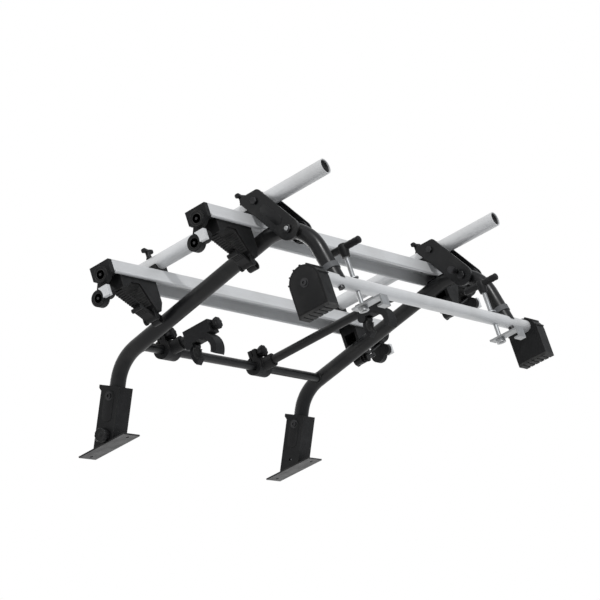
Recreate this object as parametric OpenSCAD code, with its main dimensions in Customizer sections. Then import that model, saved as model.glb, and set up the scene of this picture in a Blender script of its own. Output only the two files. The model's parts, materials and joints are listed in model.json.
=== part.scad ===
// Rear bike rack for a van tailgate, shown with its platform folded up.
// Two bent hoops stand off the door, a cross tube at the bottom carries the feet,
// and a hinged platform holds two wheel trays. Two arms hold the bike frames.
// Z is up, the door's plane is Y = 0 and everything stands off it towards -Y.
// The origin is on the door's plane, midway between the hoops, level with the lower cross tube.

/* [Hoops] */
// Distance between the hoops, centre to centre
hoop_spacing = 860; // [820:5:900]
// Outside diameter of the hoop tubes
hoop_tube_d = 42; // [38:1:45]
// Wall of the hoop tubes
hoop_wall = 2.5; // [2:0.5:4]
// Centre line radius of the hoop's bends
hoop_bend_r = 120; // [110:5:130]
// Height at which the upper legs meet the door
foot_height = 795; // [785:1:805]
// Height of the upper corner of the hoop
top_corner_height = 682; // [676:1:688]
// Distance of the upper corner from the door
top_corner_reach = 200; // [196:1:204]
// Height of the lower corner of the hoop
low_corner_height = 43; // [40:1:46]
// Distance of the lower corner from the door
low_corner_reach = 315; // [312:1:318]

/* [Cross tubes] */
// Diameter of the lower cross tube
low_tube_d = 35; // [32:1:38]
// Distance of the lower cross tube from the door
low_tube_reach = 100; // [96:1:104]
// Length of the lower cross tube beyond each hoop
low_tube_overhang = 135; // [115:5:155]
// Diameter of the upper cross tube
top_tube_d = 25; // [22:1:28]
// Height of the upper cross tube
top_tube_height = 618; // [612:1:622]
// Wall of both cross tubes
cross_wall = 2.5; // [2:0.5:3]

/* [Platform] */
// Distance of the rails from the fold pivot
rail_offset = 112; // [111:0.5:114]
// Diameter of the rails
rail_d = 42; // [40:1:42]
// Wall of the rails
rail_wall = 2.5; // [2:0.5:4]
// Length of a rail above the fold pivot
rail_above = 475; // [472:1:478]
// Length of a rail below the fold pivot
rail_below = 140; // [130:1:142]
// Distance from the middle of the far tray to the rails' upper ends
far_tray_inset = 38; // [35:1:45]
// Height of the near tray above the pivot when folded
near_tray_height = 119; // [119:1:125]

/* [Trays] */
// Length of a wheel holder
holder_length = 150; // [145:1:155]
// Room between a wheel holder and the hoop beside it
holder_room = 23; // [20:1:40]
// Length of tray that shows beyond each wheel holder
tray_margin = 12; // [10:1:40]
// Width of a wheel tray
tray_width = 62; // [58:1:64]
// Depth of a wheel tray
tray_depth = 38; // [36:1:39]
// Sheet thickness of a wheel tray
tray_wall = 3; // [2.5:0.5:4]

/* [Arms] */
// Reach of the short arm from the upper cross tube to its jaws
short_arm_reach = 115; // [110:1:120]
// Reach of the long arm from the upper cross tube to its jaws
long_arm_reach = 400; // [380:5:420]
// Diameter of the arm tubes
arm_d = 25; // [22:1:28]
// Place of the short arm, to the left of the middle
short_arm_place = 303; // [290:1:340]
// Place of the long arm, to the right of the middle
long_arm_place = 120; // [100:5:150]

/* [Hidden] */
$fn = 48;

// Clearances
run_gap = 0.08;
seat_gap = 0.2;
free_gap = 1;

// Hoops, as points in the plane square to the cross tubes: [reach from the door, height]
hoop_x = hoop_spacing / 2;
hoop_r = hoop_tube_d / 2;
leg_socket_depth = 55;
bend_thinning = 0.15;
bend_lap = 3;
door_end = [0, foot_height];
top_corner = [top_corner_reach, top_corner_height];
low_corner = [low_corner_reach, low_corner_height];
tube_end = [low_tube_reach, 0];
function unit(v) = v / norm(v);
leg_dir = unit(top_corner - door_end);
leg_side = [-leg_dir[1], leg_dir[0]];
low_leg_dir = unit(tube_end - low_corner);
straight_dir = unit(low_corner - top_corner);
hoop_start = door_end + leg_socket_depth * leg_dir;

// Fold pivot, at the middle of the lower bend
bend_half_angle = acos(straight_dir * low_leg_dir) / 2;
pivot = low_corner + (hoop_bend_r / cos(bend_half_angle) - hoop_bend_r) * unit(low_leg_dir - straight_dir);

// Cross tubes
low_tube_r = low_tube_d / 2;
low_tube_length = hoop_spacing + 2 * low_tube_overhang;
top_tube_r = top_tube_d / 2;
hoop_lean = (low_corner_reach - top_corner_reach) / (top_corner_height - low_corner_height);
top_tube_reach = low_corner_reach - (top_tube_height - low_corner_height) * hoop_lean;
foot_width = 92;
foot_r = foot_width / 2;
foot_thick = 44;
foot_reach = 80;
foot_rise = 12;
foot_centre = [foot_reach, foot_rise];
foot_pad_thick = 8;
foot_wall = 6;
foot_x = low_tube_length / 2 - foot_thick / 2 + foot_wall;
rib_thick = 4;
rib_rise = 3;
rib_turn = 25;
collar_d = 47;
collar_length = 16;
collar_from_corner = 172;
bolt_r = 5;
bolt_head_r = 8.5;
bolt_head_thick = 6;

// Upper shoes and door brackets
shoe_width = 58;
shoe_wall = 8;
shoe_length = 158;
shoe_lip = 8;
plate_thick = 4;
plate_width = 70;
plate_length = 156;
plate_hole_r = 4.5;
plate_hole_spacing = 126;
tongue_thick = 8;
tongue_reach = 40;
tongue_length = 44;
tongue_drop = 15;
shoe_screw_r = 5;
shoe_screw_reach = 24;
shoe_knob_r = 20;
shoe_knob_thick = 20;

// Tension handles and lower hooks
tension_shift = 82;
tension_x = hoop_x - tension_shift;
spindle_r = 6;
spindle_start = 26;
spindle_end = 205;
handle_length = 108;
handle_r = 10;
handle_hub_r = 13;
handle_hub_length = 26;
handle_washer_r = 14;
handle_washer_thick = 3;
hook_width = 34;
hook_thick = 5;
hook_reach = 44;
hook_rise = 24;
hook_drop = 66;
hook_claw = 24;
hook_lip = 18;
hook_boss_r = 13;
hook_boss_length = 16;

// Folding brackets, lock plates and lock pins
lock_plate_r = 27;
lock_plate_thick = 6;
lock_plate_lap = 6;
bracket_gap = 0.5;
bracket_thick = 5;
bracket_half = 30;
bracket_corner_r = 12;
bracket_mid_height = 80;
bracket_top = rail_offset + rail_d / 2 + seat_gap;
lock_plate_outer = hoop_r + lock_plate_thick;
bracket_inner = lock_plate_outer + bracket_gap;
bracket_outer = bracket_inner + bracket_thick;
pivot_bolt_r = 6;
lock_hole_reach = 18.5;
lock_pin_r = 3.5;
lock_travel = 6;
lock_bush_r = 7;
lock_bush_length = 14;
lock_knob_r = 10;
lock_knob_length = 16;
rail_boss_r = 11;

// Rails and trays
rail_r = rail_d / 2;
rail_low = pivot[1] - rail_below;
rail_high = pivot[1] + rail_above;
rail_reach = pivot[0] + rail_offset;
rail_cap_inset = 3;
rail_plug_length = 20;
rail_bolt_height = pivot[1] + bracket_mid_height * rail_offset / bracket_top;
saddle_thick = 7;
saddle_length = 54;
saddle_width = 50;
saddle_wrap = 12;
tray_floor = rail_reach - rail_r - saddle_thick;
tray_open = tray_floor - tray_depth;
cap_thick = 14;
holder_outer = hoop_x + hoop_r + holder_room + holder_length;
tray_length = 2 * (holder_outer + tray_margin + cap_thick);
lip_r = 4;
cap_plug = 10;
lobe_r = 22;
lobe_thick = 20;
lobe_web = 24;
tray_lobe_in = 6;
door_lobe_out = 48;
door_lobe_rise = 27;
tray_lobe = [tray_open + tray_lobe_in, 0];
door_lobe = [tray_open - door_lobe_out, door_lobe_rise];
end_plug = 28;
end_plug_r = 17;
end_plug_rise = 14;
end_plug_out = 42;
end_plug_place = [tray_open - end_plug_out, 0];
tray_bolt_r = 4;
bolt_disc_r = 12;
bolt_disc_thick = 3;
knob_hub_r = 9;
knob_hub_length = 16;
knob_wing_length = 38;
knob_wing_thick = 13;
knob_wing_width = 15;

// Wheel holders
holder_width = 52;
holder_foot = 12;
lip_rise = 32;
lip_run = 14;
cradle_low = 14;
cradle_start = 40;
cradle_end = 76;
ramp_start = 116;
ramp_rise = 84;
ramp_back = 58;
side_cut = 12;
side_cut_rise = 9;
strap_thick = 3;
strap_width = 24;
strap_tooth = 1.6;
strap_pitch = 8;
strap_loop_r = 13;
lever_width = 30;
lever_length = 56;
lever_thick = 6;
lever_pin_r = 4;
lever_ear_r = 9;
lever_hub_r = 7.5;
lever_pin_rise = 13;
lever_ear_thick = 5;

// Arms and grips
clamp_r = 26;
clamp_width = 56;
clamp_neck_r = 19;
clamp_neck_length = 52;
clamp_slit = 3;
clamp_lug = 50;
clamp_lug_thick = 26;
clamp_lug_width = 30;
clamp_screw_r = 4;
clamp_screw_shift = 6;
hand_knob_r = 17;
hand_knob_length = 22;
hand_knob_waist = 13;
arm_r = arm_d / 2;
arm_wall = 2.5;
palm_width = 34;
palm_length = 84;
palm_socket = 30;
grip_outer_r = 45;
grip_inner_r = 29;
grip_depth = 40;
grip_offset = 52;
jaw_pin_r = 4;
jaw_pin_rise = 36;
jaw_knuckle_r = 11;
grip_mouth_angle = 128;
grip_screw_length = 44;
jaw_slot_start = 14;
jaw_first_angle = 40;
grip_ear_thick = 8;

// Places a shape given as [reach, height] outlines so that it spans the width around x
module slab(x, width) {
  translate([x + width / 2, 0, 0])
    rotate([90, 0, -90])
      linear_extrude(height = width)
        children();
}

// Straight rod between two points in the plane at x
module rod(x, from, to, r) {
  run = to - from;
  translate([x, -from[0], from[1]])
    rotate([atan2(run[0], run[1]), 0, 0])
      cylinder(h = norm(run), r = r);
}

// Rod along X between two values of x, at a reach and height
module cross_rod(x_from, x_to, place, r) {
  translate([x_from, -place[0], place[1]])
    rotate([0, 90, 0])
      cylinder(h = x_to - x_from, r = r);
}

// Rod along Y between two reaches, at x and a height
module out_rod(x, height, reach_from, reach_to, r) {
  translate([x, -reach_from, height])
    rotate([90, 0, 0])
      cylinder(h = reach_to - reach_from, r = r);
}

// Block between two corners given as [x, reach, height]
module block(low, high) {
  translate([low[0], -high[1], low[2]])
    cube([high[0] - low[0], high[1] - low[1], high[2] - low[2]]);
}

// One bend of a tube around a corner of its path
module bend(x, corner, dir_in, dir_out, bend_r, r) {
  half = acos(dir_in * dir_out) / 2;
  centre = corner + bend_r / cos(half) * unit(dir_out - dir_in);
  start = unit(corner - bend_r * tan(half) * dir_in - centre);
  side = start[1] * dir_in[0] - start[0] * dir_in[1];
  first = atan2(-start[0], -start[1]);
  translate([x, -centre[0], centre[1]])
    rotate([0, 90, 0])
      rotate([0, 0, side > 0 ? first : first - 2 * half])
        rotate_extrude(angle = 2 * half)
          translate([bend_r, 0])
            circle(r = r);
}

// Solid of the whole hoop with a given radius; a bent tube is a little thinner in its bends
module hoop_sweep(x, r) {
  top_half = acos(leg_dir * straight_dir) / 2;
  top_cut = hoop_bend_r * tan(top_half);
  low_cut = hoop_bend_r * tan(bend_half_angle);
  rod(x, hoop_start, top_corner - (top_cut - bend_lap) * leg_dir, r);
  bend(x, top_corner, leg_dir, straight_dir, hoop_bend_r, r - bend_thinning);
  rod(x, top_corner + (top_cut - bend_lap) * straight_dir, low_corner - (low_cut - bend_lap) * straight_dir, r);
  bend(x, low_corner, straight_dir, low_leg_dir, hoop_bend_r, r - bend_thinning);
  rod(x, low_corner + (low_cut - bend_lap) * low_leg_dir, tube_end, r);
}

module hoop(side) {
  x = side * hoop_x;
  color("#1b1c1e")
    difference() {
      hoop_sweep(x, hoop_r);
      hoop_sweep(x, hoop_r - hoop_wall);
      cross_rod(x - hoop_tube_d, x + hoop_tube_d, tube_end, low_tube_r + seat_gap);
      cross_rod(x - hoop_tube_d, x + hoop_tube_d, pivot, pivot_bolt_r + seat_gap);
    }
}

module left_hoop() { hoop(-1); }
module right_hoop() { hoop(1); }

module upper_cross_tube() {
  place = [top_tube_reach, top_tube_height];
  color("#1b1c1e")
    difference() {
      cross_rod(-hoop_x, hoop_x, place, top_tube_r);
      cross_rod(-hoop_x, hoop_x, place, top_tube_r - cross_wall);
      for (side = [-1, 1]) hoop_sweep(side * hoop_x, hoop_r + seat_gap);
    }
}

module lower_cross_tube() {
  half = low_tube_length / 2;
  across = low_tube_d * low_leg_dir;
  color("#b9bcc0")
    difference() {
      cross_rod(-half, half, tube_end, low_tube_r);
      cross_rod(-half, half, tube_end, low_tube_r - cross_wall);
      for (side = [-1, 1]) {
        rod(side * hoop_x, tube_end - across, tube_end + across, bolt_r + seat_gap);
        out_rod(side * tension_x, 0, 0, low_tube_reach + low_tube_d, spindle_r + free_gap / 2);
      }
    }
}

// Point beside the upper leg: along it from the door, and square to it on its upper side
function leg_point(along, up) = door_end + along * leg_dir + up * leg_side;

// Point level with a reach from the door, on a line beside the upper leg
function leg_at(reach, up) = leg_point((reach - up * leg_side[0]) / leg_dir[0], up);

tongue_height = foot_height - tongue_drop;

module shoe(side) {
  x = side * hoop_x;
  half = hoop_r + shoe_wall;
  slot = tongue_thick / 2 + free_gap / 2;
  difference() {
    slab(x, shoe_width)
      polygon([
        leg_at(plate_thick + seat_gap, -half),
        leg_point(shoe_length, -half),
        leg_point(shoe_length, half + shoe_lip),
        leg_point(shoe_length - shoe_lip, half + shoe_lip),
        leg_point(shoe_length - 2 * shoe_lip, half),
        leg_at(plate_thick + seat_gap, half)
      ]);
    rod(x, hoop_start - seat_gap * leg_dir, leg_point(2 * shoe_length, 0), hoop_r + seat_gap);
    block(
      [x - slot, 0, tongue_height - tongue_length / 2 - free_gap],
      [x + slot, tongue_reach + free_gap, tongue_height + tongue_length / 2 + free_gap]
    );
    cross_rod(x - shoe_width, x + shoe_width, [shoe_screw_reach, tongue_height], shoe_screw_r + run_gap);
  }
}

module upper_shoes() {
  color("#232426")
    for (side = [-1, 1]) shoe(side);
}

module upper_door_brackets() {
  color("#2a2b2d")
    for (side = [-1, 1]) {
      x = side * hoop_x;
      difference() {
        union() {
          block(
            [x - plate_width / 2, 0, foot_height - plate_length / 2],
            [x + plate_width / 2, plate_thick, foot_height + plate_length / 2]
          );
          block(
            [x - tongue_thick / 2, 0, tongue_height - tongue_length / 2],
            [x + tongue_thick / 2, tongue_reach, tongue_height + tongue_length / 2]
          );
        }
        cross_rod(x - plate_width, x + plate_width, [shoe_screw_reach, tongue_height], shoe_screw_r + run_gap);
        for (end = [-1, 1])
          out_rod(x, foot_height + end * plate_hole_spacing / 2, -plate_thick, 2 * plate_thick, plate_hole_r);
      }
    }
}

// Knob on the outer face of a shoe, with the screw that holds the shoe to its tongue
module shoe_knob(side) {
  face = hoop_x + shoe_width / 2 + free_gap / 2;
  end = hoop_x - shoe_width / 2 + shoe_wall;
  place = [shoe_screw_reach, tongue_height];
  color("#17181a")
    mirror([side > 0 ? 0 : 1, 0, 0]) {
      cross_rod(end, face + shoe_knob_thick, place, shoe_screw_r);
      cross_rod(face, face + shoe_knob_thick, place, shoe_knob_r);
    }
}

module left_shoe_knob() { shoe_knob(-1); }
module right_shoe_knob() { shoe_knob(1); }

module lower_feet() {
  color("#2c2d30")
    for (side = [-1, 1])
      difference() {
        slab(side * foot_x, foot_thick) {
          translate(foot_centre) circle(r = foot_r);
          translate([foot_pad_thick + seat_gap, foot_rise - foot_r])
            square([foot_reach - foot_pad_thick - seat_gap, foot_width]);
          for (rib = [-3:3])
            translate(foot_centre)
              rotate(rib * rib_turn)
                translate([0, -rib_thick / 2])
                  square([foot_r + rib_rise, rib_thick]);
        }
        mirror([side > 0 ? 0 : 1, 0, 0])
          cross_rod(foot_x - foot_thick, low_tube_length / 2 + seat_gap, tube_end, low_tube_r + seat_gap);
      }
}

module foot_pads() {
  color("#121212")
    for (side = [-1, 1])
      difference() {
        slab(side * foot_x, foot_thick)
          translate([0, foot_rise - foot_r])
            square([foot_pad_thick, foot_width]);
        for (step = [-2:2])
          translate([0, 0, foot_rise + step * foot_width / 6])
            block(
              [side * foot_x - foot_thick, -foot_pad_thick, -rib_thick / 2],
              [side * foot_x + foot_thick, rib_rise, rib_thick / 2]
            );
      }
}

module leg_collars() {
  low = low_corner + collar_from_corner * low_leg_dir;
  run = collar_length * low_leg_dir;
  color("#57595c")
    for (side = [-1, 1])
      difference() {
        rod(side * hoop_x, low, low + run, collar_d / 2);
        rod(side * hoop_x, low - run, low + 2 * run, hoop_r + seat_gap);
      }
}

// Bolt through the lower cross tube into a plug in the end of each lower leg
module cross_tube_bolts() {
  face = tube_end + (low_tube_r + seat_gap) * low_leg_dir;
  plug_start = tube_end - (low_tube_r + 2 * bolt_head_thick) * low_leg_dir;
  plug_end = plug_start - 2 * bolt_head_thick * low_leg_dir;
  color("#3a3b3d")
    for (side = [-1, 1]) {
      rod(side * hoop_x, face, plug_end, bolt_r);
      rod(side * hoop_x, face, face + bolt_head_thick * low_leg_dir, bolt_head_r);
      rod(side * hoop_x, plug_start, plug_end, hoop_r - hoop_wall - seat_gap);
    }
}

module pivot_bolts() {
  half = bracket_outer + free_gap / 2;
  color("#8d9094")
    for (side = [-1, 1]) {
      x = side * hoop_x;
      cross_rod(x - half, x + half, pivot, pivot_bolt_r);
      cross_rod(x - half - bolt_head_thick, x - half, pivot, pivot_bolt_r + rib_thick);
      cross_rod(x + half, x + half + bolt_head_thick, pivot, pivot_bolt_r + rib_thick);
    }
}

// Direction from the fold pivot, as an angle from straight down towards the outside
function from_pivot(angle, r) = pivot + r * [sin(angle), -cos(angle)];
folded_angle = 90 + atan2(bracket_mid_height, bracket_top);
fold_turn = 90;

// Hinge discs on both sides of each lower bend, with a hole for the lock pin folded and one unfolded
module lock_plates() {
  width = lock_plate_thick + lock_plate_lap;
  color("#1b1c1e")
    for (side = [-1, 1], face = [-1, 1])
      difference() {
        slab(side * hoop_x + face * (lock_plate_outer - width / 2), width)
          difference() {
            translate(pivot) circle(r = lock_plate_r);
            translate(pivot) circle(r = pivot_bolt_r + seat_gap);
            for (angle = [folded_angle - fold_turn, folded_angle])
              translate(from_pivot(angle, lock_hole_reach)) circle(r = lock_pin_r + run_gap);
          }
        hoop_sweep(side * hoop_x, hoop_r + seat_gap);
      }
}

// T handle whose spindle passes through the lower cross tube and draws the hook outwards
module tension_handle(side) {
  x = side * tension_x;
  seat = low_tube_reach + low_tube_r + seat_gap;
  out_rod(x, 0, spindle_start, spindle_end, spindle_r);
  out_rod(x, 0, seat, seat + handle_washer_thick, handle_washer_r);
  out_rod(x, 0, spindle_end - handle_hub_length, spindle_end + handle_r, handle_hub_r);
  translate([x, -spindle_end, -handle_length / 2])
    cylinder(h = handle_length, r = handle_r);
}

module left_tension_handle() { color("#1e1f21") tension_handle(-1); }
module right_tension_handle() { color("#1e1f21") tension_handle(1); }

module lower_hook(side) {
  x = side * tension_x;
  back = hook_reach - hook_thick;
  tip = back - hook_claw;
  difference() {
    union() {
      slab(x, hook_width)
        polygon([
          [back, hook_rise],
          [back, hook_thick - hook_drop],
          [tip + hook_thick, hook_thick - hook_drop],
          [tip + hook_thick, hook_lip - hook_drop],
          [tip, hook_lip - hook_drop],
          [tip, -hook_drop],
          [hook_reach, -hook_drop],
          [hook_reach, hook_rise]
        ]);
      out_rod(x, 0, hook_reach - hook_boss_length, hook_reach, hook_boss_r);
    }
    out_rod(x, 0, 0, 2 * hook_reach, spindle_r + run_gap);
  }
}

module left_lower_hook() { color("#3a3b3d") lower_hook(-1); }
module right_lower_hook() { color("#3a3b3d") lower_hook(1); }

bracket_along = unit([bracket_top, bracket_mid_height]);
bracket_across = [-bracket_along[1], bracket_along[0]];

// Centre of the rounded upper (1) or lower (-1) far corner of a folding bracket
function bracket_corner(edge) =
  let (
    aside = edge * (bracket_half - bracket_corner_r),
    run = (bracket_top + bracket_thick - bracket_corner_r - aside * bracket_across[0]) / bracket_along[0]
  )
  pivot + run * bracket_along + aside * bracket_across;

// Side plate of a folding bracket, from the fold pivot to past the rail
module bracket_outline() {
  high = bracket_corner(1);
  low = bracket_corner(-1);
  translate(pivot) circle(r = bracket_half);
  translate(high) circle(r = bracket_corner_r);
  translate(low) circle(r = bracket_corner_r);
  polygon([
    pivot + bracket_half * bracket_across,
    high + bracket_corner_r * bracket_across,
    high + [bracket_corner_r, 0],
    low + [bracket_corner_r, 0],
    low - bracket_corner_r * bracket_across,
    pivot - bracket_half * bracket_across
  ]);
}

module folding_bracket(side) {
  x = side * hoop_x;
  lock = from_pivot(folded_angle, lock_hole_reach);
  inboard = x - side * bracket_outer;
  bush_end = inboard - side * lock_bush_length;
  pin_end = x - side * 2 * hoop_tube_d;
  rail_bolt = [rail_reach, rail_bolt_height];
  low = bracket_corner(-1)[1];
  high = bracket_corner(1)[1];
  difference() {
    union() {
      for (plate = [-1, 1])
        slab(x + plate * (bracket_inner + bracket_thick / 2), bracket_thick)
          bracket_outline();
      slab(x, 2 * bracket_inner)
        translate([pivot[0] + bracket_top, low])
          square([bracket_thick, high - low]);
      cross_rod(x - bracket_inner, x + bracket_inner, rail_bolt, rail_boss_r);
      cross_rod(min(inboard, bush_end), max(inboard, bush_end), lock, lock_bush_r);
    }
    translate([x, -rail_reach, rail_low]) cylinder(h = rail_high - rail_low, r = rail_r + seat_gap);
    cross_rod(x - hoop_tube_d, x + hoop_tube_d, pivot, pivot_bolt_r + run_gap);
    cross_rod(x - hoop_tube_d, x + hoop_tube_d, rail_bolt, bolt_r + seat_gap);
    cross_rod(min(x, pin_end), max(x, pin_end), lock, lock_pin_r + run_gap);
  }
}

module left_bracket() { color("#202123") folding_bracket(-1); }
module right_bracket() { color("#202123") folding_bracket(1); }

// Pin that locks a folding bracket to its hinge disc, drawn back and parked
module lock_pin(side) {
  lock = from_pivot(folded_angle, lock_hole_reach);
  tip = hoop_x - bracket_inner;
  knob = hoop_x - bracket_outer - lock_bush_length - lock_travel;
  mirror([side > 0 ? 0 : 1, 0, 0]) {
    cross_rod(knob, tip, lock, lock_pin_r);
    cross_rod(knob - lock_knob_length, knob, lock, lock_knob_r);
  }
}

module left_lock_pin() { color("#303133") lock_pin(-1); }
module right_lock_pin() { color("#303133") lock_pin(1); }

tray_heights = [pivot[1] + near_tray_height, rail_high - far_tray_inset];

module rail(side) {
  x = side * hoop_x;
  translate([0, 0, rail_low])
    difference() {
      translate([x, -rail_reach, 0]) cylinder(h = rail_high - rail_low, r = rail_r);
      translate([x, -rail_reach, 0]) cylinder(h = rail_high - rail_low, r = rail_r - rail_wall);
      for (height = tray_heights)
        out_rod(x, height - rail_low, rail_reach - rail_d, rail_reach + rail_d, tray_bolt_r + seat_gap);
      cross_rod(x - rail_d, x + rail_d, [rail_reach, rail_bolt_height - rail_low], bolt_r + seat_gap);
    }
}

module left_rail() { color("#c3c6ca") rail(-1); }
module right_rail() { color("#c3c6ca") rail(1); }

module rail_caps() {
  color("#161618")
    for (side = [-1, 1], low = [rail_low + rail_cap_inset, rail_high - rail_cap_inset - rail_plug_length])
      translate([side * hoop_x, -rail_reach, low])
        cylinder(h = rail_plug_length, r = rail_r - rail_wall - seat_gap);
}

// Cross-section of a wheel tray, open towards the door
module tray_section() {
  half = tray_width / 2;
  difference() {
    translate([tray_open, -half]) square([tray_depth, tray_width]);
    translate([tray_open - tray_wall, tray_wall - half]) square([tray_depth, tray_width - 2 * tray_wall]);
  }
  for (edge = [-1, 1])
    translate([tray_open + lip_r, edge * half]) circle(r = lip_r);
  for (edge = [-1, 1])
    translate([tray_floor - 2 * tray_wall, edge * half / 2 - tray_wall / 2]) square([tray_wall, tray_wall]);
}

module tray(height) {
  color("#c9ccd0")
    difference() {
      translate([0, 0, height]) slab(0, tray_length) tray_section();
      for (side = [-1, 1])
        out_rod(side * hoop_x, height, tray_floor - tray_depth, rail_reach, tray_bolt_r + seat_gap);
    }
}

module near_tray() { tray(tray_heights[0]); }
module far_tray() { tray(tray_heights[1]); }

// Cap over each end of a tray: two round lobes, one over the tray and one standing off towards the door
module tray_end_caps() {
  half = tray_width / 2;
  plug_half = half - lip_r - seat_gap;
  run = door_lobe - tray_lobe;
  color("#161618")
    for (height = tray_heights, side = [-1, 1])
      translate([0, 0, height]) {
        slab(side * (tray_length + cap_thick) / 2, cap_thick) {
          translate([tray_open, -half]) square([tray_depth, tray_width]);
          translate(end_plug_place) circle(r = end_plug_r);
          translate(tray_lobe)
            rotate(atan2(run[1], run[0]))
              translate([0, -lobe_web / 2])
                square([norm(run), lobe_web]);
        }
        for (lobe = [tray_lobe, door_lobe])
          slab(side * (tray_length + lobe_thick) / 2, lobe_thick)
            translate(lobe) circle(r = lobe_r);
        slab(side * (tray_length - cap_plug) / 2, cap_plug)
          translate([tray_open, -plug_half])
            square([tray_depth - 2 * tray_wall - seat_gap, 2 * plug_half]);
      }
}

// Light block on the face of each end cap, beside the lobe that stands off
module tray_end_plugs() {
  start = tray_length / 2 + cap_thick + seat_gap;
  color("#b9bcc0")
    for (height = tray_heights, side = [-1, 1])
      translate([0, 0, height])
        difference() {
          slab(side * (start + end_plug_rise / 2), end_plug_rise)
            translate(end_plug_place - [end_plug / 2, end_plug / 2])
              square([end_plug, end_plug]);
          for (lobe = [tray_lobe, door_lobe])
            slab(side * tray_length / 2, 3 * lobe_thick)
              translate(lobe) circle(r = lobe_r + seat_gap);
        }
}

module tray_saddles() {
  color("#1a1a1c")
    for (height = tray_heights, side = [-1, 1]) {
      x = side * hoop_x;
      difference() {
        block(
          [x - saddle_width / 2, tray_floor + seat_gap, height - saddle_length / 2],
          [x + saddle_width / 2, rail_reach - rail_r + saddle_wrap, height + saddle_length / 2]
        );
        translate([x, -rail_reach, rail_low]) cylinder(h = rail_high - rail_low, r = rail_r + seat_gap);
        out_rod(x, height, tray_floor, rail_reach, tray_bolt_r + seat_gap);
      }
    }
}

knob_seat = rail_reach + rail_r + free_gap / 2;

module platform_bolts() {
  disc = tray_floor - 2 * tray_wall - seat_gap;
  half = bracket_outer + seat_gap;
  place = [rail_reach, rail_bolt_height];
  color("#9a9da1") {
    for (height = tray_heights, side = [-1, 1]) {
      out_rod(side * hoop_x, height, disc - bolt_disc_thick, disc, bolt_disc_r);
      out_rod(side * hoop_x, height, disc, knob_seat + knob_hub_length, tray_bolt_r);
    }
    for (side = [-1, 1]) {
      x = side * hoop_x;
      cross_rod(x - half, x + half, place, bolt_r);
      cross_rod(x - half - bolt_head_thick, x - half, place, bolt_head_r);
      cross_rod(x + half, x + half + bolt_head_thick, place, bolt_head_r);
    }
  }
}

// T knob that clamps a tray to a rail
module tray_knob(side, height) {
  x = side * hoop_x;
  top = knob_seat + knob_hub_length;
  color("#17181a")
    difference() {
      union() {
        out_rod(x, height, knob_seat, top + knob_wing_thick, knob_hub_r);
        block(
          [x - knob_wing_length / 2, top, height - knob_wing_width / 2],
          [x + knob_wing_length / 2, top + knob_wing_thick, height + knob_wing_width / 2]
        );
      }
      out_rod(x, height, tray_floor, top + free_gap, tray_bolt_r + run_gap);
    }
}

module near_left_knob() { tray_knob(-1, tray_heights[0]); }
module near_right_knob() { tray_knob(1, tray_heights[0]); }
module far_left_knob() { tray_knob(-1, tray_heights[1]); }
module far_right_knob() { tray_knob(1, tray_heights[1]); }

// Places a left-hand outline given as [distance in from the tray's end, rise towards the door]
module holder_slab(side, height, width) {
  mirror([side > 0 ? 1 : 0, 0, 0])
    translate([-holder_outer, -tray_open, height - width / 2])
      linear_extrude(height = width)
        children();
}

lever_pin = [ramp_start + lever_pin_r, ramp_rise + lever_pin_rise];

module wheel_holder(side, height) {
  ear_place = lever_width / 2 + free_gap;
  color("#1d1e20") {
    difference() {
      holder_slab(side, height, holder_width)
        polygon([
          [0, run_gap + seat_gap],
          [holder_length, run_gap + seat_gap],
          [holder_length, ramp_back],
          [holder_length - lip_run, ramp_rise],
          [ramp_start, ramp_rise],
          [cradle_end, cradle_low],
          [cradle_start, cradle_low],
          [lip_run, lip_rise],
          [0, lip_rise]
        ]);
      holder_slab(side, height, holder_width - 2 * side_cut_rise)
        polygon([
          [cradle_end + 2 * side_cut, cradle_low],
          [holder_length + side_cut, cradle_low],
          [holder_length + side_cut, ramp_back - side_cut],
          [ramp_start + side_cut, ramp_rise - 2 * side_cut]
        ]);
    }
    holder_slab(side, height, tray_width - 2 * tray_wall - 2 * free_gap)
      translate([0, -holder_foot]) square([holder_length, holder_foot + 2 * seat_gap]);
    for (edge = [-1, 1])
      translate([0, 0, edge * (ear_place + lever_ear_thick / 2)])
        holder_slab(side, height, lever_ear_thick) {
          translate(lever_pin) circle(r = lever_ear_r);
          translate([lever_pin[0] - lever_ear_r, ramp_rise - lever_ear_r])
            square([2 * lever_ear_r, lever_pin_rise + lever_ear_r]);
        }
    holder_slab(side, height, 2 * ear_place + lever_ear_thick)
      translate(lever_pin) circle(r = lever_pin_r);
  }
}

module near_left_holder() { wheel_holder(-1, tray_heights[0]); }
module near_right_holder() { wheel_holder(1, tray_heights[0]); }
module far_left_holder() { wheel_holder(-1, tray_heights[1]); }
module far_right_holder() { wheel_holder(1, tray_heights[1]); }

// Toothed strap: from the outer lip over the cradle, along the crest and back in a loop
strap_from = [lip_run / 2, lip_rise + seat_gap];
strap_to = [ramp_start, ramp_rise + seat_gap];
strap_slope = atan2(strap_to[1] - strap_from[1], strap_to[0] - strap_from[0]);
strap_run = norm(strap_to - strap_from);
crest_end = holder_length - lip_run;

module wheel_strap(side, height) {
  loop_centre = [crest_end + strap_loop_r / 2, strap_to[1] + strap_loop_r];
  color("#101010")
    holder_slab(side, height, strap_width) {
      translate(strap_from)
        rotate(strap_slope) {
          square([strap_run, strap_thick]);
          for (tooth = [1 : floor(strap_run / strap_pitch) - 2])
            translate([tooth * strap_pitch, strap_thick / 2])
              square([strap_pitch / 2, strap_thick / 2 + strap_tooth]);
        }
      translate([strap_to[0] - strap_thick, strap_to[1]])
        square([loop_centre[0] - strap_to[0] + strap_thick, strap_thick]);
      difference() {
        translate(loop_centre) circle(r = strap_loop_r);
        translate(loop_centre) circle(r = strap_loop_r - strap_thick);
      }
    }
}

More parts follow.
